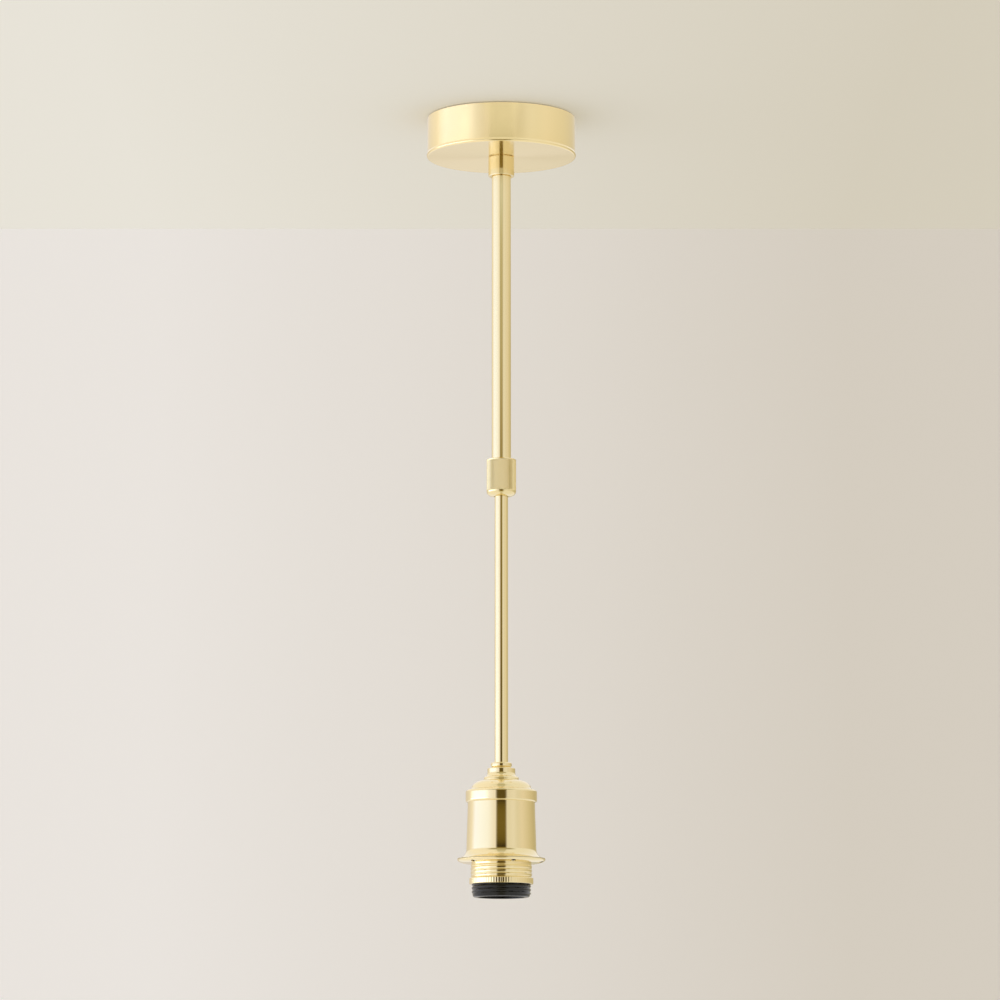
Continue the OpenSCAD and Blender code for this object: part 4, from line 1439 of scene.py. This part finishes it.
@dataclass
class Studio:
    """Camera, plain ceiling and wall, and the soft light round the lamp.

    Angles are in degrees: to the side from behind the camera, left negative, and above the
    horizon. A pair of limits is where something is not there yet and where it is fully there.

    Attributes:
        eye: camera position in mm.
        pitch_up: camera pitch.
        lens: focal length in mm.
        sensor: width of the sensor in mm.
        clip: nearest and furthest distance that the camera sees, in metres.
        wall_y: distance of the wall behind the lamp.
        half_width: half width of the ceiling and wall.
        ceiling_front: how far the ceiling comes forward.
        wall_drop: how far the wall goes down.
        ceiling_gap: how far the ceiling lies above the cup's edge.
        ceiling_paint_with_falloff: sRGB hex of the ceiling on the window's side and on the far side.
        wall_paint_with_falloff: sRGB hex of the wall on the window's side and on the far side.
        fall_off: how far to either side the light on the ceiling and wall falls off.
        fill: soft light added to the ceiling and wall.
        level_stops: light near the horizon, by angle to the side.
        dome_stops: light well above and below the horizon, by angle to the side.
        gap_stops: light in the gap behind the camera, by angle above the horizon.
        strip_stops: light of the dim strip of ceiling before the lamp, by metres from the lamp.
        strip_edge: angles to the side where the strip and the gap start and stop to fade.
        shade_r: mean radius of the ring of the cup's warm shade on the ceiling.
        shade_w: half width of that ring.
        shade_soft: width of its soft edge.
        shade_tint: sRGB hex of that shade.
        dome_rise: limits of the dome, above or below the horizon.
        shade_light: light of the shaded ceiling high up behind the camera.
        shade_limits: its limits to the side, from below and from above.
        core_light: light of the window's bright core, low on the left.
        core_limits: its limits from the left, from the right, from above and from below.
        void: sRGB hex that the camera sees past the room.
    """

    eye: tuple[float, float, float] = (-0.87, -2993.25, -700.72)
    pitch_up: float = 8.36
    lens: float = 162.72
    sensor: float = 36.0
    clip: tuple[float, float] = (0.05, 50.0)
    wall_y: float = 367.0
    half_width: float = 750.0
    ceiling_front: float = -420.0
    wall_drop: float = -1600.0
    ceiling_gap: float = 0.9
    # The two colours of the ceiling and of the wall are painted light: lighter on the window's side, darker on
    # the far side where the light falls off.
    ceiling_paint_with_falloff: tuple[str, str] = ("#dcdad3", "#cac5b7")
    wall_paint_with_falloff: tuple[str, str] = ("#edebed", "#d8d3cd")
    fall_off: float = 260.0
    fill: float = 0.2
    level_stops: Stops = (
        (-180.0, (0.72, 0.66, 0.58)),
        (-146.0, (0.79, 0.73, 0.66)),
        (-118.0, (0.98, 0.94, 0.90)),
        (-98.0, (1.12, 1.22, 1.62)),
        (-74.0, (1.11, 1.21, 1.52)),
        (-45.0, (1.08, 1.14, 1.34)),
        (-24.0, (0.98, 0.95, 0.98)),
        (24.0, (0.84, 0.81, 0.74)),
        (42.0, (0.88, 0.85, 0.80)),
        (56.0, (0.81, 0.77, 0.67)),
        (74.0, (0.85, 0.78, 0.66)),
        (110.0, (0.70, 0.63, 0.45)),
        (140.0, (0.57, 0.50, 0.32)),
        (180.0, (0.60, 0.55, 0.42)),
    )
    dome_stops: Stops = (
        (-180.0, (0.98, 0.98, 1.04)),
        (-110.0, (1.05, 1.01, 0.96)),
        (-60.0, (1.01, 0.96, 0.90)),
        (-32.0, (0.97, 0.93, 0.83)),
        (-10.0, (0.74, 0.70, 0.58)),
        (0.0, (0.68, 0.63, 0.48)),
        (10.0, (0.74, 0.70, 0.58)),
        (32.0, (0.92, 0.91, 0.84)),
        (90.0, (0.92, 0.90, 0.84)),
        (180.0, (0.98, 0.98, 1.04)),
    )
    gap_stops: Stops = (
        (-45.0, (0.68, 0.63, 0.48)),
        (-30.0, (0.42, 0.34, 0.14)),
        (-20.0, (0.24, 0.17, 0.015)),
        (-13.0, (0.18, 0.12, 0.003)),
        (-7.0, (0.07, 0.045, 0.01)),
        (2.0, (0.11, 0.075, 0.015)),
        (10.0, (0.40, 0.36, 0.25)),
        (20.0, (0.68, 0.63, 0.48)),
    )
    strip_stops: Stops = (
        (0.0, (0.86, 0.83, 0.72)),
        (0.157, (0.86, 0.83, 0.72)),
        (0.162, (0.28, 0.20, 0.05)),
        (0.170, (0.34, 0.26, 0.09)),
        (0.180, (0.62, 0.54, 0.34)),
        (0.188, (0.76, 0.75, 0.67)),
        (0.30, (0.65, 0.65, 0.53)),
        (0.41, (0.57, 0.52, 0.345)),
        (0.65, (0.545, 0.495, 0.306)),
        (1.13, (0.447, 0.385, 0.222)),
        (1.39, (0.41, 0.34, 0.174)),
        (1.80, (0.23, 0.175, 0.035)),
        (2.60, (0.24, 0.175, 0.045)),
        (3.00, (0.19, 0.135, 0.03)),
        (4.20, (0.14, 0.10, 0.018)),
        (4.60, (0.04, 0.026, 0.014)),
        (5.40, (0.03, 0.02, 0.008)),
        (5.65, (0.125, 0.09, 0.017)),
        (6.90, (0.135, 0.095, 0.018)),
        (7.40, (0.03, 0.018, 0.006)),
        (9.00, (0.025, 0.015, 0.005)),
    )
    strip_edge: tuple[float, float] = (10.5, 21.0)
    shade_r: float = 173.0
    shade_w: float = 12.0
    shade_soft: float = 4.0
    shade_tint: str = "#f7ebcd"
    dome_rise: tuple[float, float] = (10.0, 17.0)
    shade_light: Light = (0.42, 0.37, 0.22)
    shade_limits: tuple[tuple[float, float], ...] = ((58.0, 26.0), (15.0, 20.0), (42.0, 30.0))
    core_light: Light = (3.2, 3.2, 3.4)
    core_limits: tuple[tuple[float, float], ...] = ((-122.0, -106.0), (-38.0, -58.0), (3.9, 2.9), (-9.0, -4.0))
    void: str = "#e2ded2"

    def camera(self) -> None:
        """Sets the camera where the photograph was taken."""
        data = bpy.data.cameras.new("photograph")
        data.lens, data.sensor_width, data.sensor_fit = self.lens, self.sensor, "HORIZONTAL"
        data.clip_start, data.clip_end = self.clip
        eye = bpy.data.objects.new("photograph", data)
        eye.location = Vector(self.eye) * MM
        eye.rotation_euler = (math.radians(90 + self.pitch_up), 0.0, 0.0)
        bpy.context.scene.collection.objects.link(eye)
        bpy.context.scene.camera = eye

    def plane(self, name: str, paints: tuple[str, str], corners: Sequence[Sequence[float]]) -> None:
        """Makes one plain surface of the room, seen from the lamp's side by the camera alone.

        Args:
            name: name of the surface.
            paints: sRGB hex of its paint on the window's side and on the far side, where the light falls off;
                the change between them is painted light.
            corners: its corners in mm, turning so that it faces the lamp.
        """
        paint, tree, place = blank_material(name + " paint")
        across = add(tree, "SeparateXYZ", {0: place}).outputs["X"]
        span = {"Value": across, "From Min": -self.fall_off * MM, "From Max": self.fall_off * MM}
        fall = {0: add(tree, "MapRange", span), 6: linear(paints[0]), 7: linear(paints[1])}
        # Painted light: the tone runs from the lit window side to the darker far side, and the emission below
        # adds a painted glow in the same tone.
        falloff_tone = add(tree, "Mix", fall, data_type="RGBA")
        coat = add(tree, "BsdfDiffuse", {"Color": falloff_tone})
        fill = add(tree, "Emission", {"Color": falloff_tone, "Strength": self.fill})
        matt = add(tree, "AddShader", {0: coat, 1: fill})
        clear = add(tree, "BsdfTransparent")
        seen = add(tree, "LightPath").outputs["Is Camera Ray"]
        unseen = add(tree, "Math", {0: 1.0, 1: seen}, operation="SUBTRACT")
        back = add(tree, "NewGeometry").outputs["Backfacing"]
        hidden = add(tree, "Math", {0: back, 1: unseen}, operation="MAXIMUM")
        add(tree, "OutputMaterial", {"Surface": add(tree, "MixShader", {0: hidden, 1: matt, 2: clear})})
        stage_sheet(name, paint, corners)

    def room(self) -> None:
        """Makes the plain ceiling, a hair above the cup, and the plain wall behind the lamp."""
        w, y, up = self.half_width, self.wall_y, self.ceiling_gap
        front, drop = self.ceiling_front, self.wall_drop
        ceiling = [(-w, front, up), (-w, y, up), (w, y, up), (w, front, up)]
        wall = [(-w, y, up), (-w, y, drop), (w, y, drop), (w, y, up)]
        self.plane("plain_ceiling", self.ceiling_paint_with_falloff, ceiling)
        self.plane("plain_wall", self.wall_paint_with_falloff, wall)

    def strip(self) -> None:
        """Makes the dim strip of ceiling between the softboxes, seen in reflections alone, with a painted shade
        of the cup in a ring round the lamp.
        """
        glow, tree, place = blank_material("dim strip of ceiling")
        parts = add(tree, "SeparateXYZ", {0: place}).outputs
        front = add(tree, "Math", {0: parts["Y"], 1: -1.0}, operation="MULTIPLY")
        side = add(tree, "Math", {0: parts["X"], 1: front}, operation="ARCTAN2")
        off = add(tree, "Math", {0: side}, operation="ABSOLUTE")
        low, high = (math.radians(edge) for edge in self.strip_edge)
        edge = {"Value": off, "From Min": low, "From Max": high}
        beside = add(tree, "MapRange", edge, interpolation_type="SMOOTHSTEP")
        back = add(tree, "NewGeometry").outputs["Backfacing"]
        clear = add(tree, "Math", {0: beside, 1: back}, operation="MAXIMUM")
        away = add(tree, "VectorMath", {0: place}, operation="LENGTH")
        lamp = add(tree, "Emission", {"Color": graded(tree, away, self.strip_stops)})
        # A warm tint over a ring round the lamp, on the see-through part of the card, is painted shade: it
        # stands for the cup's warm shade on the ceiling as seen in reflections.
        from_ring = add(tree, "Math", {0: away, 1: self.shade_r * MM}, operation="SUBTRACT")
        aside = add(tree, "Math", {0: from_ring}, operation="ABSOLUTE")
        near = {"Value": aside, "From Min": self.shade_w * MM, "From Max": (self.shade_w + self.shade_soft) * MM}
        past = add(tree, "MapRange", near, interpolation_type="SMOOTHSTEP")
        painted_shade_tint = add(tree, "Mix", {0: past, 6: linear(self.shade_tint), 7: linear("#ffffff")}, data_type="RGBA")
        open_air = add(tree, "BsdfTransparent", {"Color": painted_shade_tint})
        add(tree, "OutputMaterial", {"Surface": add(tree, "MixShader", {0: clear, 1: lamp, 2: open_air})})
        far = self.strip_stops[-1][0] / MM
        card = stage_sheet("dim_strip", glow, [(-far, -far, 0), (-far, far, 0), (far, far, 0), (far, -far, 0)])
        card.visible_camera = card.visible_diffuse = card.visible_shadow = False

    def sky(self) -> None:
        """Sets the soft light: a window left, a warm fill right, a dim gap behind the camera."""
        world = bpy.data.worlds.new("soft studio light")
        bpy.context.scene.world = world
        world.use_nodes = True
        tree = world.node_tree
        tree.nodes.clear()
        parts = add(tree, "SeparateXYZ", {0: add(tree, "TexCoord").outputs["Generated"]}).outputs
        front = add(tree, "Math", {0: parts["Y"], 1: -1.0}, operation="MULTIPLY")
        turn = add(tree, "Math", {0: parts["X"], 1: front}, operation="ARCTAN2")
        climb = add(tree, "Math", {0: parts["Z"]}, operation="ARCSINE")
        side, rise = (add(tree, "Math", {0: angle}, operation="DEGREES") for angle in (turn, climb))
        off, away = (add(tree, "Math", {0: angle}, operation="ABSOLUTE") for angle in (side, rise))
        angles = (away, off, off, rise, rise, side, side, rise, rise)
        limits = (self.dome_rise, self.strip_edge[::-1], *self.shade_limits, *self.core_limits)
        soft = []
        for angle, (low, high) in zip(angles, limits):
            step = {"Value": angle, "From Min": low, "From Max": high}
            soft.append(add(tree, "MapRange", step, interpolation_type="SMOOTHSTEP"))
        matt = add(tree, "LightPath").outputs["Is Diffuse Ray"]
        mirrored = add(tree, "Math", {0: 1.0, 1: matt}, operation="SUBTRACT")
        shares = []
        for first, *others in (soft[2:5], [*soft[5:], mirrored]):
            share = first
            for other in others:
                share = add(tree, "Math", {0: share, 1: other}, operation="MULTIPLY")
            shares.append(share)
        light = graded(tree, side, self.level_stops)
        for share, colour in (
            (soft[0], graded(tree, side, self.dome_stops)),
            (soft[1], graded(tree, rise, self.gap_stops)),
            (shares[0], (*self.shade_light, 1.0)),
            (shares[1], (*self.core_light, 1.0)),
            (add(tree, "LightPath").outputs["Is Camera Ray"], linear(self.void)),
        ):
            light = add(tree, "Mix", {0: share, 6: light, 7: colour}, data_type="RGBA")
        lamp = add(tree, "Background", {"Color": light, "Strength": 1.0})
        add(tree, "OutputWorld", {"Surface": lamp})

    def build(self) -> None:
        """Makes the studio."""
        self.camera()
        self.room()
        self.strip()
        self.sky()
        bpy.context.scene.view_settings.view_transform = "Standard"
        bpy.context.scene.view_settings.look = "None"


def main() -> None:
    """Builds the studio and the pendant in order."""
    logging.basicConfig(level=logging.INFO, format="%(name)s: %(message)s")
    for kind in (Studio, CeilingEnd, TubesAndClamp, LampholderShell, ShadeEnd, LampSocket, InnerFlex):
        LOG.info("building %s", kind.__name__)
        kind().build()


if __name__ == "__main__":
    main()
